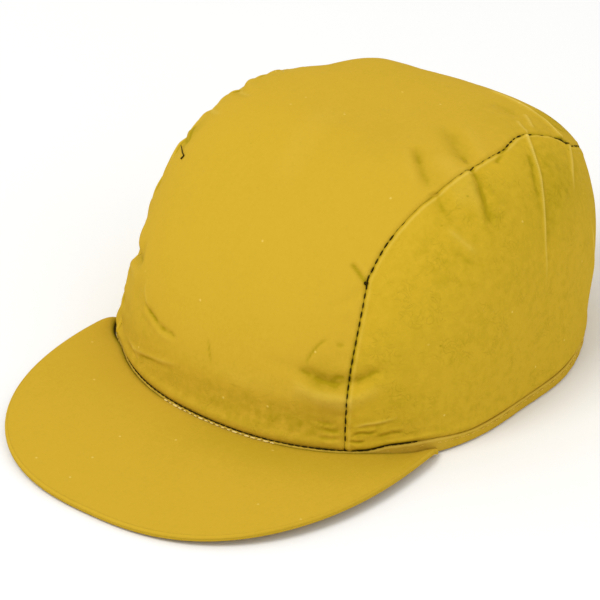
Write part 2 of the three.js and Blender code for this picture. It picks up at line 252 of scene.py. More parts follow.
def makeCotton(name, look, tone=1.0):
    material, wire = startMaterial(name)
    cloth = wire.node("ShaderNodeUVMap", {"uv_map": "cloth"})
    body = wire.node("ShaderNodeTexCoord", {}, {}, "Object")
    apart = wire.node("ShaderNodeSeparateXYZ", {}, {0: cloth})
    across, along = apart.out("X"), apart.out("Y")
    waves = 2.0 * math.pi / (look["threadPitch"] * mm)
    weave = (across * waves).sine() * (along * waves).sine()

    def noiseOf(place, size, detail):
        return wire.node("ShaderNodeTexNoise", {}, {"Vector": place, "Scale": size, "Detail": detail})

    def drawn(scale):
        return wire.node("ShaderNodeMapping", {}, {"Vector": cloth, "Scale": scale})

    def attribute(title):
        return wire.node("ShaderNodeAttribute", {"attribute_name": title}, {}, "Fac")

    # thicker threads, drawn out along the warp and the weft
    narrow, long = look["slubSizes"]
    warp = noiseOf(drawn((narrow, long, 1.0)), 1.0, 2.0)
    weft = noiseOf(drawn((long, narrow, 1.0)), 1.0, 2.0)
    slub = warp + weft - 1.0
    grain = noiseOf(body, look["grainSize"], 3.0) - 0.5
    patches = noiseOf(body, look["patchSize"], 4.0)
    patchy = patches.ramp(0.35, 0.65)
    used = attribute("crumple")
    crumple = noiseOf(body, look["crumpleSize"], 4.0) - 0.5
    crumple = crumple * used * (0.55 + patches.ramp(0.4, 0.65) * 0.6)
    # short fine wrinkles, where a bent noise passes its middle; they are bumped and darkened with painted
    # shade
    bent = {"Vector": body, "Scale": look["wrinkleSize"], "Detail": 1.0, "Distortion": 1.6}
    wrinkle = wire.node("ShaderNodeTexNoise", {}, bent) - 0.5
    places = noiseOf(body, look["wrinkleSize"] * 0.6, 2.0).ramp(0.50, 0.60)
    wrinkle = (1.0 - wrinkle.size() * 14.0).ramp(0.0, 1.0) * places * used
    # specks of pale lint and of dark soil
    cells = {"Vector": cloth, "Scale": look["lintSize"]}
    fluff = wire.node("ShaderNodeTexVoronoi", {"voronoi_dimensions": "2D"}, cells)
    picked = wire.node("ShaderNodeSeparateColor", {}, {0: fluff.out("Color")})
    spot = 1.0 - fluff.ramp(0.016, 0.034)
    lint = spot * picked.ramp(0.80, 0.84)
    soil = spot * (1.0 - picked.ramp(0.10, 0.14)) * used.ramp(0.0, 0.6)
    fold, crease, grime = attribute("fold"), attribute("crease"), attribute("grime")

    def toned(colour):
        return tuple(channel * tone for channel in colour[:3]) + (1.0,)

    shades, lights = cottonShades, cottonLights
    # painted shade: fold valleys, dark crease lines and the shade marks darken the colour, besides the
    # cloth's own uneven tone
    deep = patches.ramp(0.35, 0.75) * shades["patches"] + grain * shades["grain"] + slub * shades["slub"]
    deep = deep + crumple * shades["crumple"] + wrinkle * shades["wrinkle"] + soil * shades["soil"]
    deep = deep + (0.0 - fold).ramp(0.0, 1.6) * (shades["fold"] + crumple * shades["foldCrumple"])
    deep = deep + (0.0 - crease).ramp(0.0, 1.0) * shades["crease"]
    deep = deep + grime * (shades["grime"] + patchy * shades["paintedShadePatches"])
    colour = blendColours(wire, deep.ramp(0.0, 1.0), toned(look["colour"]), toned(look["shadeColour"]))
    # painted shade: the darkest crease lines go below the shade colour of the cloth
    lines = (0.0 - crease).ramp(0.55, 1.6)
    colour = blendColours(wire, lines, colour, toned(look["creaseColour"]))
    # painted highlight on fold ridges and along pale crease lines; the lint specks are the cloth's own
    light = fold.ramp(0.1, 1.2) * lights["fold"] + crease.ramp(0.0, 1.0) * lights["crease"]
    light = light + lint * lights["lint"]
    colour = blendColours(wire, light.ramp(0.0, 1.0), colour, toned(look["liftColour"]))
    height = weave * look["weaveRelief"] + slub * look["slubRelief"] + grain * look["grainRelief"]
    height = height + crumple * look["crumpleRelief"] + lint * look["lintRelief"]
    height = height - wrinkle * look["wrinkleRelief"]
    bump = wire.node("ShaderNodeBump", {}, {"Height": height, "Strength": 0.8, "Distance": mm})
    roughness = look["roughness"] + grain * 0.12 + patches * 0.06
    return finishMaterial(material, wire, colour, roughness, bump, look["sheen"])


threadTwist = 5200.0  # strands per metre, times 2 pi
seamThread = dict(colour=(0.016, 0.011, 0.001, 1.0), highColour=(0.06, 0.040, 0.005, 1.0), sheen=0.0)
hemThread = dict(colour=(0.56, 0.36, 0.035, 1.0), highColour=(0.76, 0.52, 0.09, 1.0), sheen=0.06)
rootThread = dict(colour=(0.72, 0.52, 0.12, 1.0), highColour=(0.90, 0.74, 0.34, 1.0), sheen=0.06)


def makeThread(name, look):
    material, wire = startMaterial(name)
    body = wire.node("ShaderNodeTexCoord", {}, {}, "Object")
    apart = wire.node("ShaderNodeSeparateXYZ", {}, {0: body})
    strands = ((apart.out("X") + apart.out("Y") + apart.out("Z") * 1.6) * threadTwist).sine()
    fuzz = wire.node("ShaderNodeTexNoise", {}, {"Vector": body, "Scale": 1400.0, "Detail": 2.0})
    share = (strands * 0.3 + fuzz).ramp(0.2, 1.0)
    colour = blendColours(wire, share, look["colour"], look["highColour"])
    bump = wire.node("ShaderNodeBump", {}, {"Height": strands * 0.1, "Strength": 0.6, "Distance": mm})
    return finishMaterial(material, wire, colour, 0.7 + fuzz * 0.2, bump, look["sheen"])


def makeFloorMaterial():
    material, wire = startMaterial("paleTable")
    body = wire.node("ShaderNodeTexCoord", {}, {}, "Object")
    patches = wire.node("ShaderNodeTexNoise", {}, {"Vector": body, "Scale": 6.0, "Detail": 3.0})
    pale = studio["floorColour"]
    warm = tuple(channel * 0.985 for channel in pale[:3]) + (1.0,)
    colour = blendColours(wire, patches, pale, warm)
    grain = wire.node("ShaderNodeTexNoise", {}, {"Vector": body, "Scale": 400.0, "Detail": 2.0})
    bump = wire.node("ShaderNodeBump", {}, {"Height": grain, "Strength": 0.05, "Distance": mm})
    return finishMaterial(material, wire, colour, 0.9 + grain * 0.05, bump, 0.0)


crownCotton = makeCotton("crownCotton", yellowCotton)
# side panels: the same cotton tinted greener and less blue, a painted shade tint for the side away from the
# light
sideCotton = makeCotton("sideCotton", dict(yellowCotton, colour=(0.565, 0.365, 0.021, 1.0)))
# peak and hem: darker copies of the same cotton, painted shade
peakCotton = makeCotton("peakCotton", yellowCotton, 0.97)
hemCotton = makeCotton("hemCotton", yellowCotton, 0.95)
# cloth behind the seams: a darker copy of the same cotton, painted shade
innerCotton = makeCotton("seamAllowanceCotton", yellowCotton, 0.85)
darkThread = makeThread("seamThread", seamThread)
yellowThread = makeThread("hemThread", hemThread)
paleThread = makeThread("rootThread", rootThread)
print("materials are made")


# Form of the crown, in millimetres from the middle of the rim. A place on it is given by its turn
# from the front towards the wearer's left and its rise above the rim, in degrees.
crown = dict(
    width=165.0,
    frontReach=81.0,
    backReach=109.0,
    base=4.9,  # height of the crown's lower edge
    rise=93.1,
    lean=14.0,
    rimLift=2.0,
    planFront=2.2,
    planBack=2.42,
    riseFront=1.92,
    riseSide=3.2,
    riseBack=2.75,
    bellyFront=0.006,
    bellySide=0.043,
    bellyBack=0.034,
    panelWidth=108.0,
    panelShift=-4.0,
)

# station in degrees from the front over the top, then how far each seam lies from the panel's middle,
# as shares of its width
seamTable = [
    (0, 0.525, 0.56),
    (22, 0.508, 0.613),
    (34, 0.5, 0.64),
    (43, 0.487, 0.649),
    (50, 0.467, 0.655),
    (59, 0.472, 0.65),
    (68, 0.489, 0.63),
    (79, 0.513, 0.62),
    (92, 0.524, 0.587),
    (104, 0.522, 0.55),
    (113, 0.499, 0.52),
    (122, 0.522, 0.508),
    (132, 0.552, 0.503),
    (143, 0.502, 0.49),
    (160, 0.455, 0.455),
    (180, 0.4, 0.4),
]
seamCorner = 50

# turn, rise, spread and height in mm of the broad hollows and swells
swells = [
    (180, 60, 30, -7.84),
    (40, 55, 28, -4.12),
    (-40, 55, 28, -4.12),
    (-58, 34, 22, -2.55),
    (-64, 11, 13, 2.16),
    (150, 44, 10, 1.37),
    (124, 0, 18, 1.37),
    (112, 0, 12, 1.76),
    (141, 5, 9, -1.47),
    (-64, 19, 7, -2.35),
    (-131, 46, 12, -1.76),
    (-103, 50, 10, 0.7),
    (-114, 52, 6, 0.6),
    (-146, 47, 7, 1.6),
    (-162, 42, 6, -0.8),
    (148, 34, 5, 0.9),
    (159, 39, 6, -0.5),
    (-53, -1, 5, 1.3),
    (-60, -1, 6, 2.2),
    (-54, 26.5, 3, 0.9),
    (-52, 18, 3.5, -0.9),
]


def directionAt(turn, rise):
    turn = np.radians(turn)
    rise = np.radians(rise)
    level = np.cos(rise)
    return np.stack([np.sin(turn) * level, -np.cos(turn) * level, np.sin(rise) + 0.0 * turn], axis=-1)


def stationDirection(station, lean):
    station = np.radians(station)
    flat = np.cos(lean)
    return np.stack([np.sin(lean) + 0.0 * station, -np.cos(station) * flat, np.sin(station) * flat], axis=-1)


def mixed(start, end, share):
    return start + (end - start) * share


def eased(value, low, high):
    share = np.clip((value - low) / (high - low), 0.0, 1.0)
    return share * share * (3.0 - 2.0 * share)


def bell(distance, width):
    return np.exp(-((distance / width) ** 2))


# 1 between the two middle values, and fading to 0 at the outer ones
def window(value, limits):
    start, full, fade, end = limits
    return eased(value, start, full) * (1.0 - eased(value, fade, end))


def angleTo(directions, place):
    return 2.0 * np.arcsin(np.clip(np.linalg.norm(directions - place, axis=-1) / 2.0, 0.0, 1.0))


def fullReach(directions):
    level = np.hypot(directions[..., 0], directions[..., 1])
    safe = np.maximum(level, 1e-9)
    side = np.abs(directions[..., 0]) / safe
    along = np.abs(directions[..., 1]) / safe
    front = directions[..., 1] < 0
    plan = np.where(front, crown["planFront"], crown["planBack"])
    endReach = np.where(front, crown["frontReach"], crown["backReach"])
    rim = ((2.0 * side / crown["width"]) ** plan + (along / endReach) ** plan) ** (-1.0 / plan)
    share = along * along
    fullness = mixed(crown["riseSide"], np.where(front, crown["riseFront"], crown["riseBack"]), share)
    swell = mixed(crown["bellySide"], np.where(front, crown["bellyFront"], crown["bellyBack"]), share)
    high = np.maximum(directions[..., 2], 0.0)
    reach = ((level / rim) ** fullness + (high / crown["rise"]) ** fullness) ** (-1.0 / fullness)
    return reach * (1.0 + swell * (2.0 * level * high) ** 2)


def clothReach(directions):
    reach = fullReach(directions)
    for turn, rise, spread, height in swells:
        reach = reach + height * bell(angleTo(directions, directionAt(turn, rise)), np.radians(spread))
    return reach


def crownPlace(directions, reach):
    points = directions * reach[..., None]
    high = points[..., 2] / crown["rise"]
    lift = crown["rimLift"] * np.maximum(0.0, -points[..., 1] / crown["frontReach"]) ** 2
    points[..., 2] += crown["base"] + lift * np.maximum(0.0, 1.0 - high)
    points[..., 1] += crown["lean"] * high
    return points


def smoothPoint(directions):
    return crownPlace(directions, clothReach(directions))


def smoothNormal(directions):
    step = 0.004
    upright = np.array([0.0, 0.0, 1.0])
    across = np.cross(upright, directions)
    size = np.linalg.norm(across, axis=-1, keepdims=True)
    across = np.where(size > 1e-6, across / np.maximum(size, 1e-9), np.array([1.0, 0.0, 0.0]))
    up = np.cross(directions, across)

    def slope(axis):
        ahead = directions + axis * step
        behind = directions - axis * step
        ahead = ahead / np.linalg.norm(ahead, axis=-1, keepdims=True)
        behind = behind / np.linalg.norm(behind, axis=-1, keepdims=True)
        return smoothPoint(ahead) - smoothPoint(behind)

    normal = np.cross(slope(across), slope(up))
    normal = normal / np.linalg.norm(normal, axis=-1, keepdims=True)
    return normal * np.sign(np.sum(normal * directions, axis=-1, keepdims=True))


# Value of a seam column at each station: smooth, with a kink at the corner
def seamShare(station, column):
    rows = seamTable
    result = np.zeros_like(station)
    last = len(rows) - 1
    for i in range(last):
        here, after = rows[i], rows[i + 1]
        span = after[0] - here[0]

        def slope(first, second):
            return (rows[second][column] - rows[first][column]) / (rows[second][0] - rows[first][0])

        chord = slope(i, i + 1)
        startSlope = chord if i == 0 or here[0] == seamCorner else slope(i - 1, i + 1)
        endSlope = chord if i + 1 == last or after[0] == seamCorner else slope(i, i + 2)
        share = (station - here[0]) / span
        inside = (station >= here[0]) & (station <= after[0])
        ease = share * share * (3.0 - 2.0 * share)
        swing = span * share * (1.0 - share)
        value = mixed(here[column], after[column], ease)
        value = value + swing * ((1.0 - share) * startSlope - share * endSlope)
        result = np.where(inside, value, result)
    return result


def seamOffset(station, side):
    return crown["panelShift"] + side * crown["panelWidth"] * seamShare(station, 1 if side > 0 else 2)


# How far a station's direction leans to a side, in radians, so that it meets the crown x mm off the middle
def leanAt(station, x):
    side = np.sign(x)
    low = np.zeros_like(station)
    high = np.full_like(station, math.pi / 2.0)
    for halving in range(40):
        middle = (low + high) / 2.0
        directions = stationDirection(station, side * middle)
        short = fullReach(directions) * np.abs(directions[..., 0]) < np.abs(x)
        low = np.where(short, middle, low)
        high = np.where(short, high, middle)
    return side * low


# Folds and creases. Each follows its (turn, rise) places and fades at both ends. Width is in degrees
# and height in mm, below 0 for a valley. Roll is the share of the opposite height beside it, on its
# left seen along the path from outside. Sharp makes a narrow crease, and line a painted highlight
# (above 0) or painted shade (below 0) along it.
foldTable = [
    # shoulder folds over the near seam
    dict(path=[(139, 69.5), (121, 69.5), (106, 67), (97.1, 63.9), (92.5, 61.4), (90.4, 59.4)],
         width=2.2, height=-1.5, roll=0.3, ends=(0.35, 0.4)),
    dict(path=[(97.1, 63.9), (93.5, 62), (90.8, 60.4)], width=0.8, height=-0.5, roll=0.0, line=-0.3),
    dict(path=[(91.3, 59.6), (90, 58.5), (87.5, 55.8), (84.9, 52.9), (83, 49.7), (82, 46.7),
         (81.5, 44)], width=1.2, height=-1.5, roll=-0.35, line=-0.5, ends=(0.15, 0.5)),
    dict(path=[(84, 73), (81.4, 72), (74.9, 69), (70.4, 65.4), (68, 61.5), (67.2, 58.6)], width=1.3,
         height=-1.2, roll=-0.3, line=-0.2, ends=(0.3, 0.3)),
    dict(path=[(78, 70.6), (74.9, 69), (72, 67)], width=0.7, height=-0.4, roll=0.0, line=-0.15),
    dict(path=[(69, 58.2), (68.3, 56.2), (68, 53.5), (68, 51)], width=2.0, height=-1.0, roll=0.25,
         line=-0.25, ends=(0.1, 0.5)),
    dict(path=[(116, 56.7), (110, 57), (104, 57), (101.5, 56.4)], width=0.7, height=-0.6, roll=0.3,
         line=-0.55, ends=(0.1, 0.3)),
    dict(path=[(90, 69), (83, 63), (79, 56), (76, 50)], width=3.0, height=0.6, roll=0.0),
    dict(path=[(66, 50), (70, 46), (74, 42)], width=1.6, height=0.35, roll=0.4, line=0.15),
    dict(path=[(67, 45), (71, 41.3), (77, 39)], width=1.2, height=-0.35, roll=0.4, line=-0.15),
    # ridges down the near side panel
    dict(path=[(129.2, 53.1), (128.2, 52.8), (120, 51), (113.4, 48), (108.2, 45), (103.8, 40.9),
         (101, 36.1), (100.1, 31), (99.6, 27)], width=0.62, height=0.7, roll=0.5, line=0.9,
         lineWidth=0.3, ends=(0.02, 0.4)),
    dict(path=[(118, 51.8), (116.8, 51.4), (111.9, 49.5), (107.7, 47.3), (104.9, 44.7), (102, 40)],
         width=0.7, height=-0.6, roll=0.0, line=-0.42, ends=(0.2, 0.5)),
    dict(path=[(127, 50), (117, 47), (110, 43), (104, 37), (101, 30)], width=2.6, height=-0.6,
         roll=0.0),
    dict(path=[(128.5, 29), (130, 22.4), (131.5, 18), (132.8, 12.7), (132.2, 7)], width=0.8,
         height=0.45, roll=0.4, line=0.6, lineWidth=0.35, ends=(0.3, 0.4)),
    dict(path=[(138.4, 41.6), (137.9, 40.9), (132.5, 40.5), (128, 40), (125, 38.9), (121, 37)],
         width=0.7, height=0.7, roll=0.4, line=0.75, lineWidth=0.3, ends=(0.03, 0.45)),
    # ridges that meet at the bend of the near seam over the crest
    dict(path=[(171, 48), (167.1, 48.8), (160, 48.9), (150.1, 48.4), (143.9, 46.3), (140, 44.5),
         (138.9, 43)], width=0.75, height=0.8, roll=0.7, line=0.95, lineWidth=0.3, ends=(0.25, 0.02)),
    dict(path=[(152, 47), (147.7, 45.4), (145.9, 43), (144.4, 39.6)], width=1.6, height=-0.9, roll=0.0,
         line=-0.35),
    dict(path=[(146, 50.9), (144.8, 51), (141.2, 51.1), (136.8, 51), (135.6, 50.7)], width=0.5,
         height=0.4, roll=0.4, line=0.6, lineWidth=0.26),
    dict(path=[(139, 54), (137.8, 53.9), (134.2, 53.5), (131, 52.6), (130, 52.2)], width=0.5,
         height=0.4, roll=0.4, line=0.6, lineWidth=0.26),
    dict(path=[(160, 54), (150, 54), (141, 52.5)], width=2.0, height=-0.7, roll=0.0, line=-0.12),
    # dent across the near seam, low at the front
    dict(path=[(22, 20.8), (25.5, 19.9), (28.2, 18.8), (31, 18), (33.9, 17.7), (38.3, 17.7), (41.2, 19),
         (44, 20.5), (47.6, 21), (53, 22.5)], width=2.1, height=-2.0, roll=-0.45, ends=(0.2, 0.45)),
    dict(path=[(27.5, 19), (29.5, 18.2), (32, 17.6), (34.5, 17.4), (37.2, 18)], width=0.9, height=-0.9,
         roll=0.0, sharp=True, line=-0.62),
    dict(path=[(24, 20.6), (26, 19.6), (28, 18.7)], width=0.8, height=-0.4, roll=0.0, line=-0.4),
    dict(path=[(33.4, 19.2), (35.3, 19.4), (37, 19.2)], width=0.6, height=-0.3, roll=0.0, line=-0.6),
    dict(path=[(38.6, 18), (41.2, 19), (44, 20.5), (47, 21)], width=1.0, height=-0.5, roll=0.0,
         line=-0.42),
    dict(path=[(26, 21.5), (26.5, 23.5), (27.9, 25.8), (29.5, 27.5), (31.6, 28.7)], width=0.55,
         height=-0.35, roll=0.4, line=-0.5, lineWidth=0.3),
    dict(path=[(33.4, 27.3), (36, 27)], width=0.8, height=-0.3, roll=0.0, line=-0.4),
    dict(path=[(28, 14.8), (34.9, 13.4), (40, 14.5)], width=2.6, height=0.8, roll=0.0),
    # crinkles beside the foot of the near seam
    dict(path=[(39.6, 6.6), (43.4, 7.5), (47.1, 8), (52, 9)], width=0.5, height=0.35, roll=-0.7,
         line=0.25),
    dict(path=[(39.7, 4), (42, 5), (44.4, 4.9), (47.1, 5.6)], width=0.5, height=-0.4, roll=0.6,
         line=-0.5, lineWidth=0.3),
    dict(path=[(46, 3.6), (50, 4.6), (54, 4.6)], width=0.6, height=-0.4, roll=0.6, line=-0.35),
    dict(path=[(39.4, 2.9), (41.5, 2.5), (44, 2.8)], width=0.45, height=-0.35, roll=0.6, line=-0.45,
         lineWidth=0.3),
    dict(path=[(37.6, 5.6), (35, 5), (31, 5.6)], width=0.6, height=-0.4, roll=0.6, line=-0.28),
    dict(path=[(37.4, 3.6), (34.5, 3), (31, 3.4)], width=0.5, height=-0.35, roll=0.6, line=-0.28,
         lineWidth=0.3),
    dict(path=[(36.5, 7.4), (33, 7), (29.5, 7.8)], width=0.6, height=-0.3, roll=0.6, line=-0.3),
    # band that tucks in above the peak
    dict(path=[(-44, 3), (-24, 5), (0, 6.6), (20, 7.2), (33, 6.6), (42, 6)], width=4.4, height=-1.0,
         roll=0.2, ends=(0.5, 0.2)),
    dict(path=[(-2, 12), (9, 12.4), (21, 12), (31, 10.8)], width=3.0, height=0.3, roll=0.0),
    # creases at the front, on the wearer's right
    dict(path=[(-37.1, 23.8), (-36, 21), (-33.4, 19.4), (-31, 17.9)], width=0.6, height=0.35, roll=-0.5,
         line=0.2),
    dict(path=[(-34, 18.6), (-32.4, 17.9), (-28, 17.5), (-24.9, 17), (-22.2, 16.8), (-18.3, 16.8),
         (-15, 16)], width=0.85, height=-0.6, roll=-0.5, line=-0.22, ends=(0.15, 0.3)),
    dict(path=[(-32.6, 17.9), (-31, 17.6), (-28, 17.5), (-24.9, 17)], width=0.45, height=-0.5, roll=0.0,
         sharp=True, line=-0.62, lineWidth=0.25, ends=(0.3, 0.2)),
    dict(path=[(-24, 16.6), (-22.4, 16.8), (-20.9, 16.9)], width=0.8, height=-0.3, roll=0.0,
         line=-0.35),
    dict(path=[(-20, 17.4), (-18.3, 17.2), (-16.6, 16.7)], width=0.45, height=-0.3, roll=0.0,
         line=-0.42, lineWidth=0.25),
    dict(path=[(-44, 21), (-36, 16.2), (-24, 15)], width=3.0, height=-0.6, roll=0.0),
    dict(path=[(-40.5, 6.4), (-39.1, 5.5), (-34.3, 5.5), (-29.6, 6.5), (-24.9, 7.6), (-19.8, 8.9),
         (-15.5, 10), (-11.6, 11)], width=0.8, height=0.4, roll=-0.6, line=0.2),
    dict(path=[(-31, 5.2), (-28, 6.2), (-24.9, 7.1), (-20.5, 8.2)], width=0.45, height=-0.3, roll=0.0,
         line=-0.6, lineWidth=0.3),
    dict(path=[(-36, 5.5), (-33.2, 4.9), (-30.7, 3.8)], width=0.5, height=0.35, roll=-0.5, line=0.25),
    dict(path=[(-50, 28), (-47, 25.5), (-45.5, 23)], width=1.8, height=-0.6, roll=0.3),
    # thin marks
    dict(path=[(-5.8, 21.4), (-4.1, 18.3), (-2, 14.6)], width=0.5, height=-0.25, roll=0.4, line=-0.45,
         lineWidth=0.3),
    dict(path=[(12, 21.6), (19, 20.6), (26, 20)], width=1.6, height=-0.3, roll=0.2),
    # pucker at the kink of the near seam
    dict(path=[(35, 46.2), (36.4, 45), (38.5, 43), (40.4, 41.1)], width=0.7, height=-0.8, roll=0.4,
         line=-0.6, ends=(0.3, 0.02)),
    dict(path=[(40.6, 40.6), (39.4, 39.6), (36.5, 38), (33.3, 36.4), (30, 35.6)], width=1.3,
         height=-0.45, roll=0.4, ends=(0.05, 0.5)),
    # far shoulder and far side: nicks that show on the outline, then folds further down
    dict(path=[(-62, 20.4), (-55, 21.2), (-48.5, 22.9), (-43, 25)], width=1.9, height=-2.4, roll=-0.2,
         line=-0.35, ends=(0.02, 0.45)),
    dict(path=[(-84, 41), (-77, 43), (-71, 45), (-66, 47)], width=1.2, height=-1.0, roll=0.35,
         line=-0.3, ends=(0.02, 0.3)),
    dict(path=[(-78, 45), (-74.5, 47), (-70, 47), (-67.5, 46)], width=0.6, height=-0.5, roll=0.0,
         line=-0.7, ends=(0.1, 0.2)),
    dict(path=[(-92, 45), (-86, 48), (-82.5, 49.5), (-76.5, 53), (-72, 55.5)], width=1.2, height=-0.8,
         roll=0.4, line=0.35, ends=(0.02, 0.4)),
    dict(path=[(-102, 48), (-96, 51.5), (-93, 53), (-86.5, 58), (-83, 61)], width=1.3, height=-1.1,
         roll=0.4, line=0.3, ends=(0.02, 0.4)),
    dict(path=[(-113.1, 52), (-115, 53.8), (-117.6, 59)], width=1.6, height=-0.7, roll=0.4, line=0.3,
         ends=(0.0, 0.4)),
    dict(path=[(-100, 47), (-96, 38), (-92, 28)], width=2.4, height=-1.3, roll=0.35, ends=(0.05, 0.4)),
    dict(path=[(-82, 43), (-80, 35), (-76, 28)], width=2.2, height=-1.1, roll=0.35, ends=(0.05, 0.4)),
    dict(path=[(-132, 47), (-126, 43), (-117, 36), (-110, 28)], width=1.6, height=0.9, roll=-0.4),
    dict(path=[(-62, 12), (-70, 10), (-84, 10), (-104, 13)], width=2.6, height=-0.8, roll=0.4),
    dict(path=[(-66, 5), (-74, 6), (-84, 5)], width=1.3, height=-0.5, roll=0.5),
    # back
    dict(path=[(168, 34), (173, 24), (177, 12)], width=2.4, height=-0.9, roll=0.4),
    dict(path=[(-160, 36), (-166, 24), (-170, 12)], width=2.6, height=-0.9, roll=-0.4),
    dict(path=[(143, 4), (148, 9), (157, 13)], width=2.4, height=-0.7, roll=0.3),
    dict(path=[(-134, 5), (-146, 9), (-158, 10)], width=2.2, height=-0.6, roll=0.4),
    # long soft waves over the top
    dict(path=[(-10, 58), (-20, 70), (-60, 80), (-150, 76)], width=5.0, height=0.35, roll=0.0),
    dict(path=[(30, 72), (60, 82), (150, 78)], width=5.0, height=-0.4, roll=0.0),
]
foldUsual = dict(sharp=False, line=0.0, lineWidth=0.42, ends=(0.3, 0.3))


# A smooth line of directions through the places of a path
def smoothPath(places, pieces=6):
    points = directionAt(np.array([p[0] for p in places], float), np.array([p[1] for p in places], float))
    padded = np.concatenate([[2 * points[0] - points[1]], points, [2 * points[-1] - points[-2]]])
    line = []
    for i in range(len(points) - 1):
        before, start, end, after = padded[i:i + 4]
        for t in np.linspace(0.0, 1.0, pieces, endpoint=False):
            square = 2 * before - 5 * start + 4 * end - after
            cube = 3 * start - before - 3 * end + after
            line.append(0.5 * (2 * start + (end - before) * t + square * t**2 + cube * t**3))
    line.append(points[-1])
    line = np.array(line)
    return line / np.linalg.norm(line, axis=1, keepdims=True)


# Height of one fold, and how pale or dark its line is, at many directions
def foldHeight(directions, entry):
    fold = dict(foldUsual, **entry)
    line = smoothPath(fold["path"])
    width = math.radians(fold["width"])
    total = np.zeros((2, len(directions)))
    lowest, highest = line.min(axis=0) - 4.5 * width, line.max(axis=0) + 4.5 * width
    near = np.all((directions > lowest) & (directions < highest), axis=1)
    if not near.any():
        return total
    places = directions[near]
    best = np.full(len(places), 9.0)
    side = np.zeros(len(places))
    along = np.zeros(len(places))
    for i in range(len(line) - 1):
        segment = line[i + 1] - line[i]
        share = np.clip((places - line[i]) @ segment / (segment @ segment), 0.0, 1.0)
        gap = places - (line[i] + share[:, None] * segment)
        distance = np.linalg.norm(gap, axis=1)
        closer = distance < best
        best = np.where(closer, distance, best)
        side = np.where(closer, np.sign(np.cross(segment, gap) @ line[i]), side)
        along = np.where(closer, (i + share) / (len(line) - 1), along)
    off = best / width
    main = np.exp(-(off ** 1.25)) if fold["sharp"] else np.exp(-(off ** 2))
    beside = bell(side * off - 1.7 * np.sign(fold["roll"]), 1.1) * abs(fold["roll"])
    starting, ending = fold["ends"]
    fade = eased(along, 0.0, starting + 1e-3) * (1.0 - eased(along, 1.0 - ending - 1e-3, 1.0))
    total[0, near] = fold["height"] * (main - beside) * fade
    total[1, near] = fold["line"] * bell(best, math.radians(fold["lineWidth"])) * fade
    return total


def foldsAt(directions):
    flat = directions.reshape(-1, 3)
    total = np.zeros((2, len(flat)))
    for fold in foldTable:
        total += foldHeight(flat, fold)
    return total.reshape((2,) + directions.shape[:-1])


# Slack of the cloth: slow waves and a little crumple
slack = dict(waveSize=26.0, waveHeight=0.34, crumpleSize=7.0, crumpleHeight=0.10, seed=7.0)


def slackAt(points):
    flat = points.reshape(-1, 3)
    shift = Vector((slack["seed"], 2.0 * slack["seed"], 0.0))
    result = []
    for x, y, z in flat.tolist():
        place = Vector((x, y, z))
        wave = noise.noise(place / slack["waveSize"] + shift)
        crumple = noise.noise(place / slack["crumpleSize"] - shift)
        result.append(wave * slack["waveHeight"] + crumple * slack["crumpleHeight"])
    return np.array(result).reshape(points.shape[:-1])


# Edges of the panels. The near seam has fine puckers, and the far one long ones.
panelEdge = dict(
    gap=0.1,  # mm between two panels
    dip=0.42,
    dipReach=0.8,
    lip=0.2,
    lipPlace=1.7,
    lipReach=0.8,
    puckerPitch={1: 6.5, -1: 15.0},
    puckerHeight={1: 0.12, -1: 0.4},
    puckerReach={1: 5.0, -1: 8.0},
    tuck=0.7,
    tuckReach=0.8,
    overhang=0.5,
    overhangPlace=2.8,
    overhangReach=1.8,
    wall=1.3,
    footRise=1.9,  # the crown's edge stands off the left end of the peak
    footReach=9.0,
    footTurns=(43.0, 51.0, 60.0, 76.0),
    shadowWidth=0.55,
)


def seamRelief(distance, along, side):
    edge = panelEdge
    relief = -edge["dip"] * bell(distance, edge["dipReach"])
    relief = relief + edge["lip"] * bell(distance - edge["lipPlace"], edge["lipReach"])
    wobble = np.sin(along * 2.0 * math.pi / edge["puckerPitch"][side] + 2.1 * np.sin(along / 23.0))
    return relief + edge["puckerHeight"][side] * wobble * bell(distance, edge["puckerReach"][side])


def rimRelief(distance):
    edge = panelEdge
    relief = -edge["tuck"] * bell(distance, edge["tuckReach"])
    return relief + edge["overhang"] * bell(distance - edge["overhangPlace"], edge["overhangReach"])


# How far the rim stands up beside the left end of the peak
def footRise(turn):
    return panelEdge["footRise"] * window(turn, panelEdge["footTurns"])


# Station in degrees, then how dark the painted shadow in the near seam's fold is and how bright the painted
# highlight on the lip beside it
seamShades = [
    (0, 0.15, 0.16), (14, 0.2, 0.16), (20, 0.75, 0.16), (34, 0.75, 0.14), (39, 0.4, 0.14), (50, 0.4, 0.16),
    (58, 0.45, 0.2), (66, 0.3, 0.36), (100, 0.26, 0.4), (108, 0.3, 0.36), (113, 0.3, 0.3),
    (114.5, 0.7, 0.3), (118, 0.7, 0.3), (119.5, 0.25, 0.3), (125.5, 0.3, 0.3), (127, 1.6, 0.1),
    (130.6, 1.6, 0.1), (131.5, 0.3, 0.1), (142, 0.35, 0.3), (180, 0.35, 0.2),
]


def seamShade(station, column):
    return np.interp(station, [row[0] for row in seamShades], [row[column] for row in seamShades])


# Shadow in the seam's fold, wider where it is darkest
def seamShadow(station, distance):
    dark = seamShade(station, 1)[:, None]
    return dark * bell(distance, panelEdge["shadowWidth"] + 0.4 * np.clip(dark - 0.75, 0.0, 1.0))


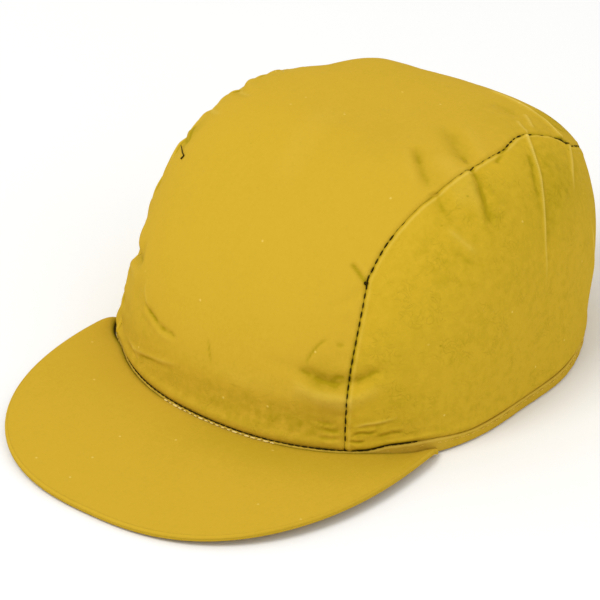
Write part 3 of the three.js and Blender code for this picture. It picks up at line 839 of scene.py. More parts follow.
# Patches of painted shade, mostly over folds: turn, rise and reach in degrees, then how dark
foldShadePatches = [
    (31, 18.4, 4.5, 0.32),
    (86, 54, 3.5, 0.22),
    (83, 48, 3.5, 0.2),
    (68, 53, 3.5, 0.22),
    (71, 62, 3, 0.2),
    (77, 69, 3.5, 0.18),
    (97, 65, 3, 0.2),
    (110, 68, 3.5, 0.12),
    (97, 44, 6, 0.1),
    (106, 44, 6, 0.22),
    (120, 44, 8, 0.26),
    (150, 42.5, 5, 0.5),
    (-71.5, 47, 3, 0.6),
    (43, 5.5, 4, 0.18),
    (30, 5, 5, 0.14),
]


def foldShadeAt(directions):
    return sum(share * bell(angleTo(directions, directionAt(turn, rise)), math.radians(reach))
               for turn, rise, reach, share in foldShadePatches)


def turnOf(directions):
    return np.degrees(np.arctan2(directions[..., 0], -directions[..., 1]))


# Shares from 0 to 1 that crowd together at either end
def crowdedShares(count, startCrowd, endCrowd, reach=7.0):
    steps = np.arange(count) + 0.5
    weights = 1.0 - startCrowd * np.exp(-steps / reach) - endCrowd * np.exp(-(count - steps) / reach)
    sums = np.cumsum(weights)
    return np.concatenate([[0.0], sums]) / sums[-1]


def arcAlong(points, axis):
    steps = np.linalg.norm(np.diff(points, axis=axis), axis=-1)
    start = np.zeros_like(np.take(steps, [0], axis=axis))
    return np.concatenate([start, np.cumsum(steps, axis=axis)], axis=axis)


def linkPiece(name, mesh, material):
    mesh.materials.clear()
    mesh.materials.append(material)
    piece = bpy.data.objects.new(name, mesh)
    bpy.context.collection.objects.link(piece)
    return piece


def gridFaces(number):
    corners = [number[:-1, :-1], number[:-1, 1:], number[1:, 1:], number[1:, :-1]]
    return np.stack(corners, -1).reshape(-1, 4).tolist()


def borderOf(number):
    return np.concatenate([number[0, :], number[1:, -1], number[-1, -2::-1], number[-2:0:-1, 0]])


# Flat cloth places as a UV map, and marks that the cloth's material reads: fold heights, crease lines,
# grime and how crumpled it is
def setMarks(mesh, flat, marks):
    corners = np.empty(len(mesh.loops), dtype=np.int32)
    mesh.loops.foreach_get("vertex_index", corners)
    layer = mesh.uv_layers.new(name="cloth")
    layer.data.foreach_set("uv", flat[corners].astype(np.float32).ravel())
    for key in ("fold", "crease", "grime", "crumple"):
        attribute = mesh.attributes.new(key, "FLOAT", "POINT")
        values = marks.get(key, np.zeros(len(mesh.vertices)))
        attribute.data.foreach_set("value", np.asarray(values).astype(np.float32).ravel())


def smoothOut(mesh):
    form = bmesh.new()
    form.from_mesh(mesh)
    bmesh.ops.remove_doubles(form, verts=form.verts, dist=2e-6)
    bmesh.ops.recalc_face_normals(form, faces=form.faces)
    for face in form.faces:
        face.smooth = len(face.verts) < 6
    form.to_mesh(mesh)
    form.free()


# Closed cloth between an outer grid of points and every second place of an inner one, with its flat
# cloth places and its marks. Both counts of steps are even.
def makeShell(name, outer, inner, cloth, marks, material):
    number = np.arange(outer.shape[0] * outer.shape[1]).reshape(outer.shape[:2])
    inner = inner[::2, ::2]
    behind = number.size + np.arange(inner.shape[0] * inner.shape[1]).reshape(inner.shape[:2])
    border, backBorder = borderOf(number), borderOf(behind)
    faces = gridFaces(number) + [face[::-1] for face in gridFaces(behind)]
    middle, after = border[1::2], np.roll(border[::2], -1)
    joints = np.stack([after, middle, border[::2], backBorder, np.roll(backBorder, -1)], -1)
    points = np.concatenate([outer.reshape(-1, 3), inner.reshape(-1, 3)]) + capMiddle
    mesh = bpy.data.meshes.new(name)
    mesh.from_pydata((points * mm).tolist(), [], faces + joints.tolist())
    flat = np.concatenate([cloth.reshape(-1, 2), cloth[::2, ::2].reshape(-1, 2)]) * mm
    values = {}
    for key, grid in marks.items():
        values[key] = np.concatenate([grid.reshape(-1), grid[::2, ::2].reshape(-1)])
    setMarks(mesh, flat, values)
    smoothOut(mesh)
    return linkPiece(name, mesh, material)


# Centre panel: rows over the crown from front to back, columns from the right seam to the left one
centrePanel = dict(
    rows=400,
    columns=168,
    lowReach=(8.0, 34.0),  # mm from the front edge over which the painted shade of the tucked-in band and the extra crumple fade
    lowPaintedShade=0.16,
    bend=(140, 50),  # turn and rise of the bend at the back of the near seam
    bendReach=12.0,
    bendPaintedShade=0.12,
    crumple=0.14,
    lowCrumple=0.8,
    bendCrumple=0.5,
    foldShadeCrumple=1.5,
    farSeamShade=0.3,
    farEdgeTurns=(-44.0, -34.0),  # the front edge is in shadow beyond these
    farEdgeShade=1.4,
)


def makeCentrePanel():
    look = centrePanel
    station = crowdedShares(look["rows"], 0.6, 0.6) * 180.0
    gap = panelEdge["gap"] / 2.0
    right = leanAt(station, seamOffset(station, -1) + gap)
    left = leanAt(station, seamOffset(station, 1) - gap)
    share = crowdedShares(look["columns"], 0.62, 0.62)
    lean = right[:, None] + (left - right)[:, None] * share[None, :]
    directions = stationDirection(station[:, None] + 0.0 * lean, lean)
    points = smoothPoint(directions)
    normal = smoothNormal(directions)
    across = arcAlong(points, 1)
    along = arcAlong(points, 0)
    fromRight = across
    fromLeft = across[:, -1:] - across
    fromFront = along
    fromBack = along[-1:, :] - along
    middle = along[:, along.shape[1] // 2][:, None] + 0.0 * across
    folds, lines = foldsAt(directions)
    soft = folds + slackAt(points)
    edges = seamRelief(fromRight, middle, -1) + seamRelief(fromLeft, middle, 1)
    edges = edges + rimRelief(fromFront) + rimRelief(fromBack) * 0.7
    outer = points + normal * (soft + edges)[..., None]
    inner = points + normal * (folds - panelEdge["wall"])[..., None]
    cloth = np.stack([across - across[:, -1:] / 2.0, middle], axis=-1)
    low = 1.0 - eased(fromFront, *look["lowReach"])
    nearBend = bell(angleTo(directions, directionAt(*look["bend"])), math.radians(look["bendReach"]))
    foldShade = foldShadeAt(directions)
    farSeam = look["farSeamShade"] * bell(fromRight, 0.5)
    farEdge = 1.0 - eased(turnOf(directions), *look["farEdgeTurns"])
    farEdge = look["farEdgeShade"] * bell(fromFront - 0.5, 0.9) * farEdge
    crumple = look["crumple"] + look["lowCrumple"] * low + look["bendCrumple"] * nearBend
    # painted shade and highlight lines along the folds, painted shadow in the seams and at the far front
    # edge; painted shade in the tucked-in band, at the bend and over the fold patches
    marks = dict(
        fold=folds,
        crease=lines - seamShadow(station, fromLeft) - farSeam - farEdge,
        grime=look["lowPaintedShade"] * low + look["bendPaintedShade"] * nearBend + foldShade,
        crumple=crumple + look["foldShadeCrumple"] * foldShade,
    )
    return makeShell("centrePanel", outer, inner, cloth, marks, crownCotton)


# Side panels: rows from the front of the seam to its back, columns from the seam down to the rim
sidePanel = dict(
    rows=480,
    columns=140,
    lipPlace=1.4,  # the painted highlight on the lip lies this far from the seam
    lipWidth=0.55,
    beltPlace=24.0,  # mm below the seam, where the painted shade is deepest
    beltWidth=20.0,
    beltPaintedShade=0.17,
    lowPaintedShade=0.05,
    lowReach=(2.0, 30.0),
    crumple=0.6,
    lowCrumple=0.5,
    crumpleReach=(0.0, 14.0),
    joinTurns=(40.0, 43.0, 52.0, 61.0),  # the rim is in shadow over the peak's ends
    farJoinTurns=(-68.0, -58.0),
    joinWidth=0.9,
    joinShade=2.2,
)


def makeSidePanel(name, side):
    look = sidePanel
    station = crowdedShares(look["rows"], 0.3, 0.3) * 180.0
    x = seamOffset(station, side) + side * panelEdge["gap"] / 2.0
    top = stationDirection(station, leanAt(station, x))
    turn = turnOf(top)
    bottom = directionAt(mixed(turn[0], turn[-1], station / 180.0), np.zeros_like(station))
    share = crowdedShares(look["columns"], 0.62, 0.6)
    directions = top[:, None, :] + (bottom - top)[:, None, :] * share[None, :, None]
    directions = directions / np.linalg.norm(directions, axis=-1, keepdims=True)
    points = smoothPoint(directions)
    normal = smoothNormal(directions)
    down = arcAlong(points, 1)
    seamLine = arcAlong(points, 0)[:, :1]
    # how squarely each line leaves the seam
    tangent = np.gradient(points[:, 0], axis=0)
    tangent = tangent / np.maximum(np.linalg.norm(tangent, axis=-1, keepdims=True), 1e-9)
    leaving = points[:, 6] - points[:, 0]
    leaving = leaving / np.maximum(np.linalg.norm(leaving, axis=-1, keepdims=True), 1e-9)
    square = np.sqrt(np.clip(1.0 - np.sum(tangent * leaving, axis=-1) ** 2, 0.05, 1.0))
    fromSeam = down * square[:, None]
    fromRim = down[:, -1:] - down
    folds, lines = foldsAt(directions)
    soft = folds + slackAt(points)
    edges = seamRelief(fromSeam, seamLine + 0.0 * down, side) + rimRelief(fromRim) * 0.85
    outer = points + normal * (soft + edges)[..., None]
    inner = points + normal * (folds - panelEdge["wall"])[..., None]
    if side > 0:
        rising = footRise(turnOf(directions)) * (1.0 - eased(fromRim, 0.0, panelEdge["footReach"]))
        outer[..., 2] += rising
        inner[..., 2] += rising
    cloth = np.stack([points[..., 1], fromRim], axis=-1)
    lip = bell(fromSeam - look["lipPlace"], look["lipWidth"]) * seamShade(station, 2)[:, None]
    turn = turnOf(directions)
    join = window(turn, look["joinTurns"]) + eased(turn, *look["farJoinTurns"]) * (turn < 0.0)
    join = look["joinShade"] * join * bell(fromRim - 0.5, look["joinWidth"])
    foldShade = foldShadeAt(directions)
    belt = look["beltPaintedShade"] * bell(down - look["beltPlace"], look["beltWidth"])
    # painted highlight on the lip by the seam; painted shade in the seam's fold, over the peak's ends, in a
    # belt below the seam, darker towards the rim and over the fold patches
    marks = dict(
        fold=folds,
        crease=lines + lip - seamShadow(station, fromSeam) - join,
        grime=belt + look["lowPaintedShade"] * eased(down, *look["lowReach"]) + foldShade,
        crumple=look["crumple"] + look["lowCrumple"] * eased(down, *look["crumpleReach"]) + foldShade,
    )
    return makeShell(name, outer, inner, cloth, marks, sideCotton)


centre = makeCentrePanel()
leftSide = makeSidePanel("sidePanelLeft", 1)
rightSide = makeSidePanel("sidePanelRight", -1)
print("crown panels are made", len(centre.data.polygons), len(leftSide.data.polygons))


# Cloth turned in behind each seam, darker than the crown cloth as painted shade
allowance = dict(rows=221, reach=5.0, columns=9, depth=1.5, sag=0.012, thickness=0.6, grime=0.3)


def makeAllowance(name, side):
    station = np.linspace(0.6, 179.4, allowance["rows"])
    lean = leanAt(station, seamOffset(station, side))
    directions = stationDirection(station, lean)
    points = smoothPoint(directions)
    normal = smoothNormal(directions)
    tangent = np.gradient(points, axis=0)
    tangent = tangent / np.linalg.norm(tangent, axis=-1, keepdims=True)
    across = np.cross(tangent, normal)
    reach = np.linspace(-1.0, 1.0, allowance["columns"]) * allowance["reach"]
    spread = points[:, None, :] + across[:, None, :] * reach[None, :, None]
    towards = spread - np.array([0.0, 0.0, crown["base"]])
    folds = foldsAt(towards / np.linalg.norm(towards, axis=-1, keepdims=True))[0]
    sag = allowance["depth"] + allowance["sag"] * reach**2
    outer = spread + normal[:, None, :] * (folds - sag[None, :])[..., None]
    inner = outer - normal[:, None, :] * allowance["thickness"]
    cloth = np.stack([reach[None, :] + 0.0 * folds, arcAlong(points, 0)[:, None] + 0.0 * folds], axis=-1)
    return makeShell(name, outer, inner, cloth, dict(grime=allowance["grime"] + folds * 0.0), innerCotton)


leftAllowance = makeAllowance("seamAllowanceLeft", 1)
rightAllowance = makeAllowance("seamAllowanceRight", -1)


# Lower edge of the crown at a turn, and the level direction that points out of it
def rimPlace(turn):
    step = 0.5

    def at(angle):
        return smoothPoint(directionAt(angle, np.zeros_like(angle)))

    ahead = at(turn + step) - at(turn - step)
    outward = np.stack([ahead[:, 1], -ahead[:, 0], np.zeros(len(turn))], axis=-1)
    return at(turn), outward / np.linalg.norm(outward, axis=-1, keepdims=True)


# Closed ring of equal sections
def makeRing(name, sections, cloth, marks, material):
    count, around = sections.shape[:2]
    number = np.arange(count * around).reshape(count, around)
    beside = np.roll(number, -1, axis=1)
    ahead = np.roll(number, -1, axis=0)
    across = np.roll(beside, -1, axis=0)
    faces = np.stack([number, beside, across, ahead], -1).reshape(-1, 4)
    mesh = bpy.data.meshes.new(name)
    mesh.from_pydata(((sections.reshape(-1, 3) + capMiddle) * mm).tolist(), [], faces.tolist())
    setMarks(mesh, cloth.reshape(-1, 2) * mm, marks)
    smoothOut(mesh)
    return linkPiece(name, mesh, material)


# Hem round the rim
hem = dict(
    height=4.6,
    thickness=2.0,
    stations=620,
    sectionPoints=30,
    cornerPower=4.0,  # how square its section is
    stitchUp=0.68,
    stitchDip=0.22,
    ripple=0.14,
    ripplePitch=7.5,
    edgePlace=0.9,  # share of its height where its upper edge catches the light
    edgeLight=0.35,
    crumple=0.5,
    litTurns=(43.0, 47.0, 62.0, 70.0),  # lit stretch beside the left end of the peak
    litLight=0.12,
    sunkTurns=(41.0, 45.0, 62.0, 68.0),  # where its thread sinks in
    sunkDepth=0.25,
    stitchSink=0.1,
)


def makeHem():
    turn = np.linspace(-180.0, 180.0, hem["stations"], endpoint=False)
    point, outward = rimPlace(turn)
    length = arcAlong(point, 0)
    angle = np.linspace(0.0, 2.0 * math.pi, hem["sectionPoints"], endpoint=False)
    power = 2.0 / hem["cornerPower"]
    out = np.sign(np.cos(angle)) * np.abs(np.cos(angle)) ** power
    up = np.sign(np.sin(angle)) * np.abs(np.sin(angle)) ** power
    half = hem["thickness"] / 2.0
    level = (up + 1.0) / 2.0
    facing = (out > 0.0) * 1.0
    groove = -hem["stitchDip"] * bell((level - hem["stitchUp"]) * hem["height"], 0.45) * facing
    rippleShape = np.sin(length * 2.0 * math.pi / hem["ripplePitch"] + 1.7 * np.sin(length / 31.0))
    ripple = hem["ripple"] * rippleShape[:, None] * (facing * np.sin(math.pi * level))[None, :]
    reach = (out - 1.0)[None, :] * half + groove[None, :] + ripple
    sections = point[:, None, :] + outward[:, None, :] * reach[..., None]
    heights = level[None, :] * (hem["height"] + footRise(turn)[:, None])
    sections[..., 2] += heights - crown["base"]
    upward = level * hem["height"] + 3.0 * facing
    cloth = np.stack([length[:, None] + 0.0 * reach, upward[None, :] + 0.0 * reach], axis=-1)
    lit = window(turn, hem["litTurns"])[:, None]
    edge = hem["edgeLight"] * facing * bell((level - hem["edgePlace"]) * hem["height"], 0.35)
    # painted shade in the stitch groove outside the lit stretch, painted highlight on the upper edge and on
    # the lit stretch
    marks = dict(
        fold=groove[None, :] * 3.0 * (1.0 - lit) + 0.0 * reach,
        crease=edge + hem["litLight"] * lit * facing,
        crumple=hem["crumple"] + 0.0 * reach,
    )
    return makeRing("hemBand", sections, cloth, marks, hemCotton)


hemPiece = makeHem()


# Peak: one row across from the crown to the edge for each place along its root
peakForm = dict(
    width=160.0,
    length=69.0,
    thickness=2.6,
    endTurn=63.0,
    tipWidth=1.4,
    endFullness=24.0,
    camber=0.8,
    shoulder=31.0,
    frontFullness=2.5,
    backFullness=2.3,
    backReach=60.0,
    sideRise=3.4,
    pieceGap=0.3,
    shift=-1.3,
    endDrop=2.2,
    endReach=0.68,
    columns=230,
    rows=64,
    edgePoints=13,
    edgeGroove=0.22,
    rootDip=0.35,
    rootDipReach=1.3,
    waves=0.45,
    rootShade=0.35,
    jointShade=1.2,
    brightTurns=(-18.0, -14.0, 18.0, 23.0),  # where the pale root stitches show and the root gets a painted highlight
    brightLine=0.35,
    darkLine=0.6,
    lineWidth=0.8,
    farTurns=(-58.0, -46.0),
    farLine=1.6,
    farLineWidth=1.3,
    shadowPaintedShade=0.30,  # soft shade beside the crown
    shadowReach=16.0,
    shadowTurns=(-20.0, 10.0),
    crumple=0.16,
)


def signedPower(value, power):
    return np.sign(value) * np.abs(value) ** power


def peakOutline(angle):
    front = np.abs(angle) < math.pi / 2.0
    power = np.where(front, 2.0 / peakForm["frontFullness"], 2.0 / peakForm["backFullness"])
    reach = np.where(front, peakForm["length"] + peakForm["shoulder"], peakForm["backReach"])
    widest = peakForm["shoulder"] - crown["frontReach"]
    x = peakForm["width"] / 2.0 * signedPower(np.sin(angle), power)
    return x, widest - reach * signedPower(np.cos(angle), power)


def makePeak():
    form = peakForm
    place = np.linspace(-1.0, 1.0, form["columns"] + 1)
    place = np.sign(place) * (1.0 - (1.0 - np.abs(place)) ** 1.25)
    point, outward = rimPlace(place * form["endTurn"])
    root = point + outward * form["pieceGap"]
    root[:, 2] -= form["pieceGap"] + form["endDrop"] * eased(np.abs(place), form["endReach"], 1.0)
    share = (point[-1, 1] + crown["frontReach"] - form["shoulder"]) / form["backReach"]
    endAngle = math.pi / 2.0 + math.asin(share ** (form["backFullness"] / 2.0))
    x, y = peakOutline(place * endAngle)
    ending = np.abs(place) ** form["endFullness"]
    edge = np.stack([x + form["shift"], y, np.zeros_like(x)], axis=-1)
    end = root + outward * form["tipWidth"]
    edge = mixed(edge, end, ending[:, None])
    ahead = np.clip((-crown["frontReach"] - edge[:, 1]) / form["length"], 0.0, 1.0)
    edge[:, 2] = mixed(form["thickness"] + form["sideRise"] * (1.0 - ahead**3), root[:, 2], ending)
    width = np.linalg.norm(edge - root, axis=-1)
    half = form["thickness"] / 2.0
    inset = np.minimum(half, 0.45 * width)
    out = crowdedShares(form["rows"], 0.5, 0.5)
    reach = out[None, :] * (1.0 - inset / width)[:, None]
    top = root[:, None, :] + (edge - root)[:, None, :] * reach[..., None]
    top[..., 2] += form["camber"] * np.sin(math.pi * reach) * (1.0 - ending)[:, None]
    fromRoot = reach * width[:, None]
    fromEdge = (1.0 - reach) * width[:, None]
    waves = slackAt(top * 0.6 + 40.0) * form["waves"]
    waves = waves * eased(fromEdge, 0.0, 12.0) * eased(fromRoot, 0.0, 8.0)
    under = top - np.array([0.0, 0.0, form["thickness"]])
    top[..., 2] += waves - form["rootDip"] * bell(fromRoot, form["rootDipReach"]) * (1.0 - ending)[:, None]
    under[..., 2] += waves * 0.6 + 0.25 * bell(fromRoot, form["rootDipReach"])
    # rounded edge with the joint of the two covers round it
    angle = np.linspace(0.5 * math.pi, -0.5 * math.pi, form["edgePoints"] + 2)[1:-1]
    heading = (edge - root) / width[:, None]
    heading[:, 2] = 0.0
    heading = heading / np.linalg.norm(heading, axis=-1, keepdims=True)
    middle = (top[:, -1] + under[:, -1]) / 2.0
    groove = form["edgeGroove"] * bell(angle, 0.16)
    outReach = inset[:, None] * np.cos(angle)[None, :] - groove[None, :] * (inset / half)[:, None]
    rim = middle[:, None, :] + heading[:, None, :] * outReach[..., None]
    rim[..., 2] += half * np.sin(angle)[None, :]
    section = np.concatenate([top, rim, under[:, ::-1]], axis=1)
    topCloth = np.stack([top[..., 0], top[..., 1]], -1)
    rimCloth = np.stack([rim[..., 0], rim[..., 1] - half * angle[None, :]], -1)
    underCloth = np.stack([under[..., 0], under[..., 1] + 7.0], -1)[:, ::-1]
    cloth = np.concatenate([topCloth, rimCloth, underCloth], axis=1)
    # painted shade beside the root and in the joint groove round the edge
    topShade = -form["rootShade"] * bell(fromRoot, 1.0)
    rimShade = -form["jointShade"] * (groove / form["edgeGroove"])[None, :] + 0.0 * rim[..., 0]
    shade = np.concatenate([topShade, rimShade, 0.0 * under[..., 0]], axis=1)
    count, around = section.shape[:2]
    number = np.arange(count * around).reshape(count, around)
    following = np.roll(number, -1, axis=1)
    faces = np.stack([number[:-1], following[:-1], following[1:], number[1:]], -1).reshape(-1, 4).tolist()
    faces.append(number[0].tolist())
    faces.append(number[-1, ::-1].tolist())
    mesh = bpy.data.meshes.new("peak")
    mesh.from_pydata(((section.reshape(-1, 3) + capMiddle) * mm).tolist(), [], faces)
    # painted highlight along the root where the pale stitches show, a painted shade line along the rest of
    # it and a wider, darker one at the far end, then painted shade on the peak beside the crown
    turn = (place * form["endTurn"])[:, None]
    bright = window(turn, form["brightTurns"])
    crease = form["brightLine"] * bright - form["darkLine"] * (1.0 - bright)
    crease = crease * bell(fromRoot, form["lineWidth"])
    far = form["farLine"] * (1.0 - eased(turn, *form["farTurns"]))
    crease = crease - far * bell(fromRoot, form["farLineWidth"])
    near = form["shadowPaintedShade"] * bell(fromRoot - 3.0, form["shadowReach"])
    near = near * eased(turn, *form["shadowTurns"])
    blank = np.zeros((len(place), rim.shape[1] + under.shape[1]))
    marks = dict(
        fold=shade,
        crease=np.concatenate([crease, blank], axis=1),
        grime=np.concatenate([near, blank], axis=1),
        crumple=form["crumple"] + 0.0 * shade,
    )
    setMarks(mesh, cloth.reshape(-1, 2) * mm, marks)
    smoothOut(mesh)
    return linkPiece("peakPiece", mesh, peakCotton)


peakPiece = makePeak()
print("hem and peak are made", len(hemPiece.data.polygons), len(peakPiece.data.polygons))


# A row of stitches along a line, made with Geometry Nodes
def makeStitchTree():
    tree = bpy.data.node_groups.new("stitchRow", "GeometryNodeTree")
    face = tree.interface
    face.new_socket("Geometry", in_out="INPUT", socket_type="NodeSocketGeometry")
    for name in ("Pitch", "Stitch Length", "Stitch Width", "Wobble"):
        face.new_socket(name, in_out="INPUT", socket_type="NodeSocketFloat")
    face.new_socket("Seed", in_out="INPUT", socket_type="NodeSocketInt")
    face.new_socket("Thread", in_out="INPUT", socket_type="NodeSocketMaterial")
    face.new_socket("Geometry", in_out="OUTPUT", socket_type="NodeSocketGeometry")
    nodes, links = tree.nodes, tree.links
    start = nodes.new("NodeGroupInput")
    end = nodes.new("NodeGroupOutput")
    points = nodes.new("GeometryNodeCurveToPoints")
    points.mode = "LENGTH"
    links.new(start.outputs["Geometry"], points.inputs["Curve"])
    links.new(start.outputs["Pitch"], points.inputs["Length"])
    grain = nodes.new("GeometryNodeMeshUVSphere")
    grain.inputs["Segments"].default_value = 8
    grain.inputs["Rings"].default_value = 6
    grain.inputs["Radius"].default_value = 0.5
    size = nodes.new("ShaderNodeCombineXYZ")
    links.new(start.outputs["Stitch Width"], size.inputs["X"])
    links.new(start.outputs["Stitch Width"], size.inputs["Y"])
    links.new(start.outputs["Stitch Length"], size.inputs["Z"])
    shaped = nodes.new("GeometryNodeTransform")
    links.new(grain.outputs["Mesh"], shaped.inputs["Geometry"])
    links.new(size.outputs["Vector"], shaped.inputs["Scale"])
    vary = nodes.new("FunctionNodeRandomValue")
    vary.data_type = "FLOAT"
    low = nodes.new("ShaderNodeMath")
    low.operation = "SUBTRACT"
    low.inputs[0].default_value = 1.0
    links.new(start.outputs["Wobble"], low.inputs[1])
    high = nodes.new("ShaderNodeMath")
    high.operation = "ADD"
    high.inputs[0].default_value = 1.0
    links.new(start.outputs["Wobble"], high.inputs[1])
    links.new(low.outputs[0], vary.inputs[2])
    links.new(high.outputs[0], vary.inputs[3])
    links.new(start.outputs["Seed"], vary.inputs["Seed"])
    placed = nodes.new("GeometryNodeInstanceOnPoints")
    links.new(points.outputs["Points"], placed.inputs["Points"])
    links.new(shaped.outputs["Geometry"], placed.inputs["Instance"])
    links.new(points.outputs["Rotation"], placed.inputs["Rotation"])
    links.new(vary.outputs[1], placed.inputs["Scale"])
    real = nodes.new("GeometryNodeRealizeInstances")
    links.new(placed.outputs["Instances"], real.inputs["Geometry"])
    thread = nodes.new("GeometryNodeSetMaterial")
    links.new(real.outputs["Geometry"], thread.inputs["Geometry"])
    links.new(start.outputs["Thread"], thread.inputs["Material"])
    links.new(thread.outputs["Geometry"], end.inputs["Geometry"])
    return tree


stitchTree = makeStitchTree()


def makeStitches(name, line, look, material, closed=False):
    curve = bpy.data.curves.new(name + "Line", "CURVE")
    curve.dimensions = "3D"
    spline = curve.splines.new("POLY")
    spline.points.add(len(line) - 1)
    places = np.concatenate([(line + capMiddle) * mm, np.ones((len(line), 1))], axis=1)
    spline.points.foreach_set("co", places.astype(np.float32).ravel())
    spline.use_cyclic_u = closed
    carrier = bpy.data.objects.new(name + "Line", curve)
    bpy.context.collection.objects.link(carrier)
    modifier = carrier.modifiers.new("stitches", "NODES")
    modifier.node_group = stitchTree
    values = {
        "Pitch": look["pitch"] * mm,
        "Stitch Length": look["length"] * mm,
        "Stitch Width": look["width"] * mm,
        "Wobble": look["wobble"],
        "Seed": look["seed"],
        "Thread": material,
    }
    for item in stitchTree.interface.items_tree:
        if item.in_out == "INPUT" and item.name in values:
            modifier[item.identifier] = values[item.name]
    evaluated = carrier.evaluated_get(bpy.context.evaluated_depsgraph_get())
    mesh = bpy.data.meshes.new_from_object(evaluated)
    mesh.name = name
    bpy.data.objects.remove(carrier)
    bpy.data.curves.remove(curve)
    for polygon in mesh.polygons:
        polygon.use_smooth = True
    return linkPiece(name, mesh, material)


seamStitch = dict(pitch=3.5, length=2.5, width=0.62, wobble=0.16, seed=3)
hemStitch = dict(pitch=2.6, length=2.0, width=0.42, wobble=0.08, seed=5)
rootStitch = dict(pitch=2.6, length=1.9, width=0.58, wobble=0.35, seed=9)
# the join row is long and close so that its dark thread also draws the shadow line under the crown's edge,
# partly painted shade
joinStitchShadowLine = dict(pitch=2.6, length=2.6, width=0.62, wobble=0.15, seed=11)
# how deep the thread lies at each station of a seam, in mm; it sinks in over the shoulder
stitchDepths = [
    (0, 0.3), (50, 0.28), (58, 0.32), (66, 0.6), (92, 0.68), (102, 0.6), (107, 0.42), (113, 0.34),
    (114.5, 0.16), (118, 0.16), (119.5, 0.6), (121, 0.46), (125.5, 0.46), (126.5, 0.02),
    (130.6, 0.02), (131.6, 0.52), (142, 0.5), (148, 0.34), (180, 0.3),
]
# the far seam's thread lies deeper up to the crest
farSink = dict(depth=0.35, stations=(76.0, 96.0))


def seamLineAt(side):
    station = np.linspace(1.2, 178.8, 700)
    directions = stationDirection(station, leanAt(station, seamOffset(station, side)))
    depth = np.interp(station, *zip(*stitchDepths))
    if side < 0:
        depth = depth + farSink["depth"] * (1.0 - eased(station, *farSink["stations"]))
    return smoothPoint(directions) + smoothNormal(directions) * (foldsAt(directions)[0] - depth)[:, None]


def hemLine():
    turn = np.linspace(-180.0, 180.0, 700, endpoint=False)
    point, outward = rimPlace(turn)
    sunk = hem["stitchSink"] + hem["sunkDepth"] * window(turn, hem["sunkTurns"])
    line = point - outward * sunk[:, None]
    line[:, 2] += hem["stitchUp"] * (hem["height"] + footRise(turn)) - crown["base"]
    return line


def rootLine(out, drop, first, last):
    turn = np.linspace(first, last, 300)
    point, outward = rimPlace(turn)
    line = point + outward * out
    line[:, 2] += footRise(turn) - drop
    return line


leftStitches = makeStitches("seamStitchesLeft", seamLineAt(1), seamStitch, darkThread)
rightStitches = makeStitches("seamStitchesRight", seamLineAt(-1), seamStitch, darkThread)
hemStitches = makeStitches("hemStitches", hemLine(), hemStitch, yellowThread, closed=True)
rootStitches = makeStitches("peakRootStitches", rootLine(0.75, 0.2, -15.0, 20.0), rootStitch, paleThread)
# dark thread pressed into the crease under the crown's edge: a real stitch row that also stands in for the
# shadow line there
joinStitchesShadowLine = makeStitches("peakJoinStitches", rootLine(-0.5, 0.05, -62.0, 57.0), joinStitchShadowLine, darkThread)
print("stitches are made")


# Thread knot at the kink of the near seam
knotLook = dict(turn=40.4, rise=41.1, size=0.8, depth=0.2)


def makeKnot():
    direction = directionAt(np.array([knotLook["turn"]]), np.array([knotLook["rise"]]))
    height = (foldsAt(direction)[0] - knotLook["depth"])[:, None]
    at = smoothPoint(direction) + smoothNormal(direction) * height
    form = bmesh.new()
    bmesh.ops.create_icosphere(form, subdivisions=3, radius=knotLook["size"] * mm)
    for vertex in form.verts:
        push = 1.0 + 0.35 * noise.noise(vertex.co * 2400.0)
        vertex.co = vertex.co * push + Vector((at[0] + capMiddle) * mm)
    for face in form.faces:
        face.smooth = True
    mesh = bpy.data.meshes.new("seamKnot")
    form.to_mesh(mesh)
    form.free()
    return linkPiece("seamKnot", mesh, darkThread)


knot = makeKnot()

# Loose end of thread where the far seam goes over the shoulder
threadEnd = dict(path=[(-71, 43.4), (-66.4, 44.9), (-63.1, 45.6), (-60.8, 46.1), (-60.6, 45.2)], lift=0.3,
                 radius=0.3, sides=8)


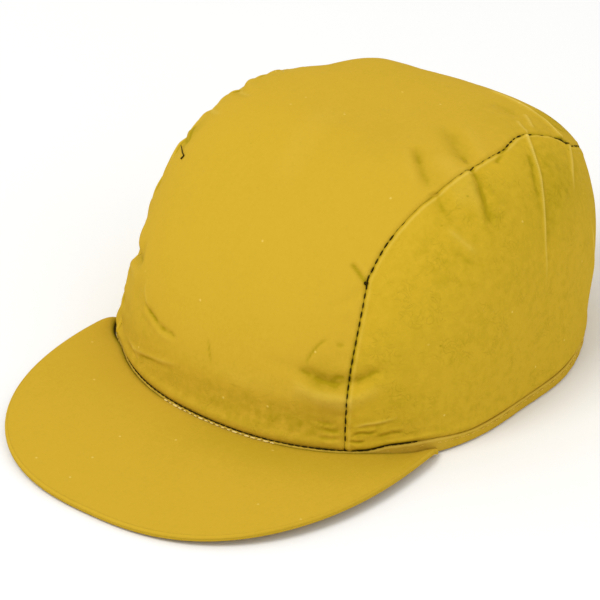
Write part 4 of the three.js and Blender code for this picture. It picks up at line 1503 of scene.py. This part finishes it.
def makeThreadEnd():
    line = smoothPath(threadEnd["path"])
    points = smoothPoint(line) + smoothNormal(line) * (foldsAt(line)[0] + threadEnd["lift"])[:, None]
    tangent = np.gradient(points, axis=0)
    tangent = tangent / np.linalg.norm(tangent, axis=-1, keepdims=True)
    level = np.cross(tangent, smoothNormal(line))
    high = np.cross(level, tangent)
    angle = np.linspace(0.0, 2.0 * math.pi, threadEnd["sides"], endpoint=False)
    radius = threadEnd["radius"] * (0.45 + 0.75 * np.linspace(0.0, 1.0, len(points)))
    around = level[:, None] * np.cos(angle)[None, :, None] + high[:, None] * np.sin(angle)[None, :, None]
    rings = points[:, None] + around * radius[:, None, None]
    number = np.arange(rings.shape[0] * rings.shape[1]).reshape(rings.shape[:2])
    following = np.roll(number, -1, axis=1)
    faces = np.stack([number[:-1], following[:-1], following[1:], number[1:]], -1).reshape(-1, 4).tolist()
    faces += [number[0].tolist(), number[-1, ::-1].tolist()]
    mesh = bpy.data.meshes.new("threadEnd")
    mesh.from_pydata(((rings.reshape(-1, 3) + capMiddle) * mm).tolist(), [], faces)
    smoothOut(mesh)
    return linkPiece("threadEnd", mesh, darkThread)


looseEnd = makeThreadEnd()


# Table
table = dict(size=3.0, drop=0.0003)


def makeTable():
    half = table["size"] / 2.0
    corners = [(-half, -half), (half, -half), (half, half), (-half, half)]
    mesh = bpy.data.meshes.new("table")
    mesh.from_pydata([(x, y, -table["drop"]) for x, y in corners], [], [(0, 1, 2, 3)])
    return linkPiece("table", mesh, makeFloorMaterial())


tablePiece = makeTable()


# Bodies and frame nodes, with each piece's finish listed
pieces = [
    (centre, "crown_cotton", "crown_center_panel"),
    (leftSide, "crown_cotton", "side_panel_left"),
    (rightSide, "crown_cotton", "side_panel_right"),
    (hemPiece, "hem_cotton", "hem_band"),
    (peakPiece, "peak_cotton", "peak"),
    (leftAllowance, "crown_cotton", None),
    (rightAllowance, "crown_cotton", None),
    (leftStitches, "crown_cotton", None),
    (rightStitches, "crown_cotton", None),
    (hemStitches, "hem_cotton", None),
    (rootStitches, "peak_cotton", None),
    (joinStitchesShadowLine, "peak_cotton", None),
    (knot, "crown_cotton", None),
    (looseEnd, "crown_cotton", None),
]
for piece, slot, node in pieces:
    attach(piece, "root")
    if node:
        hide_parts(node)

print("pieces ride on the frame")
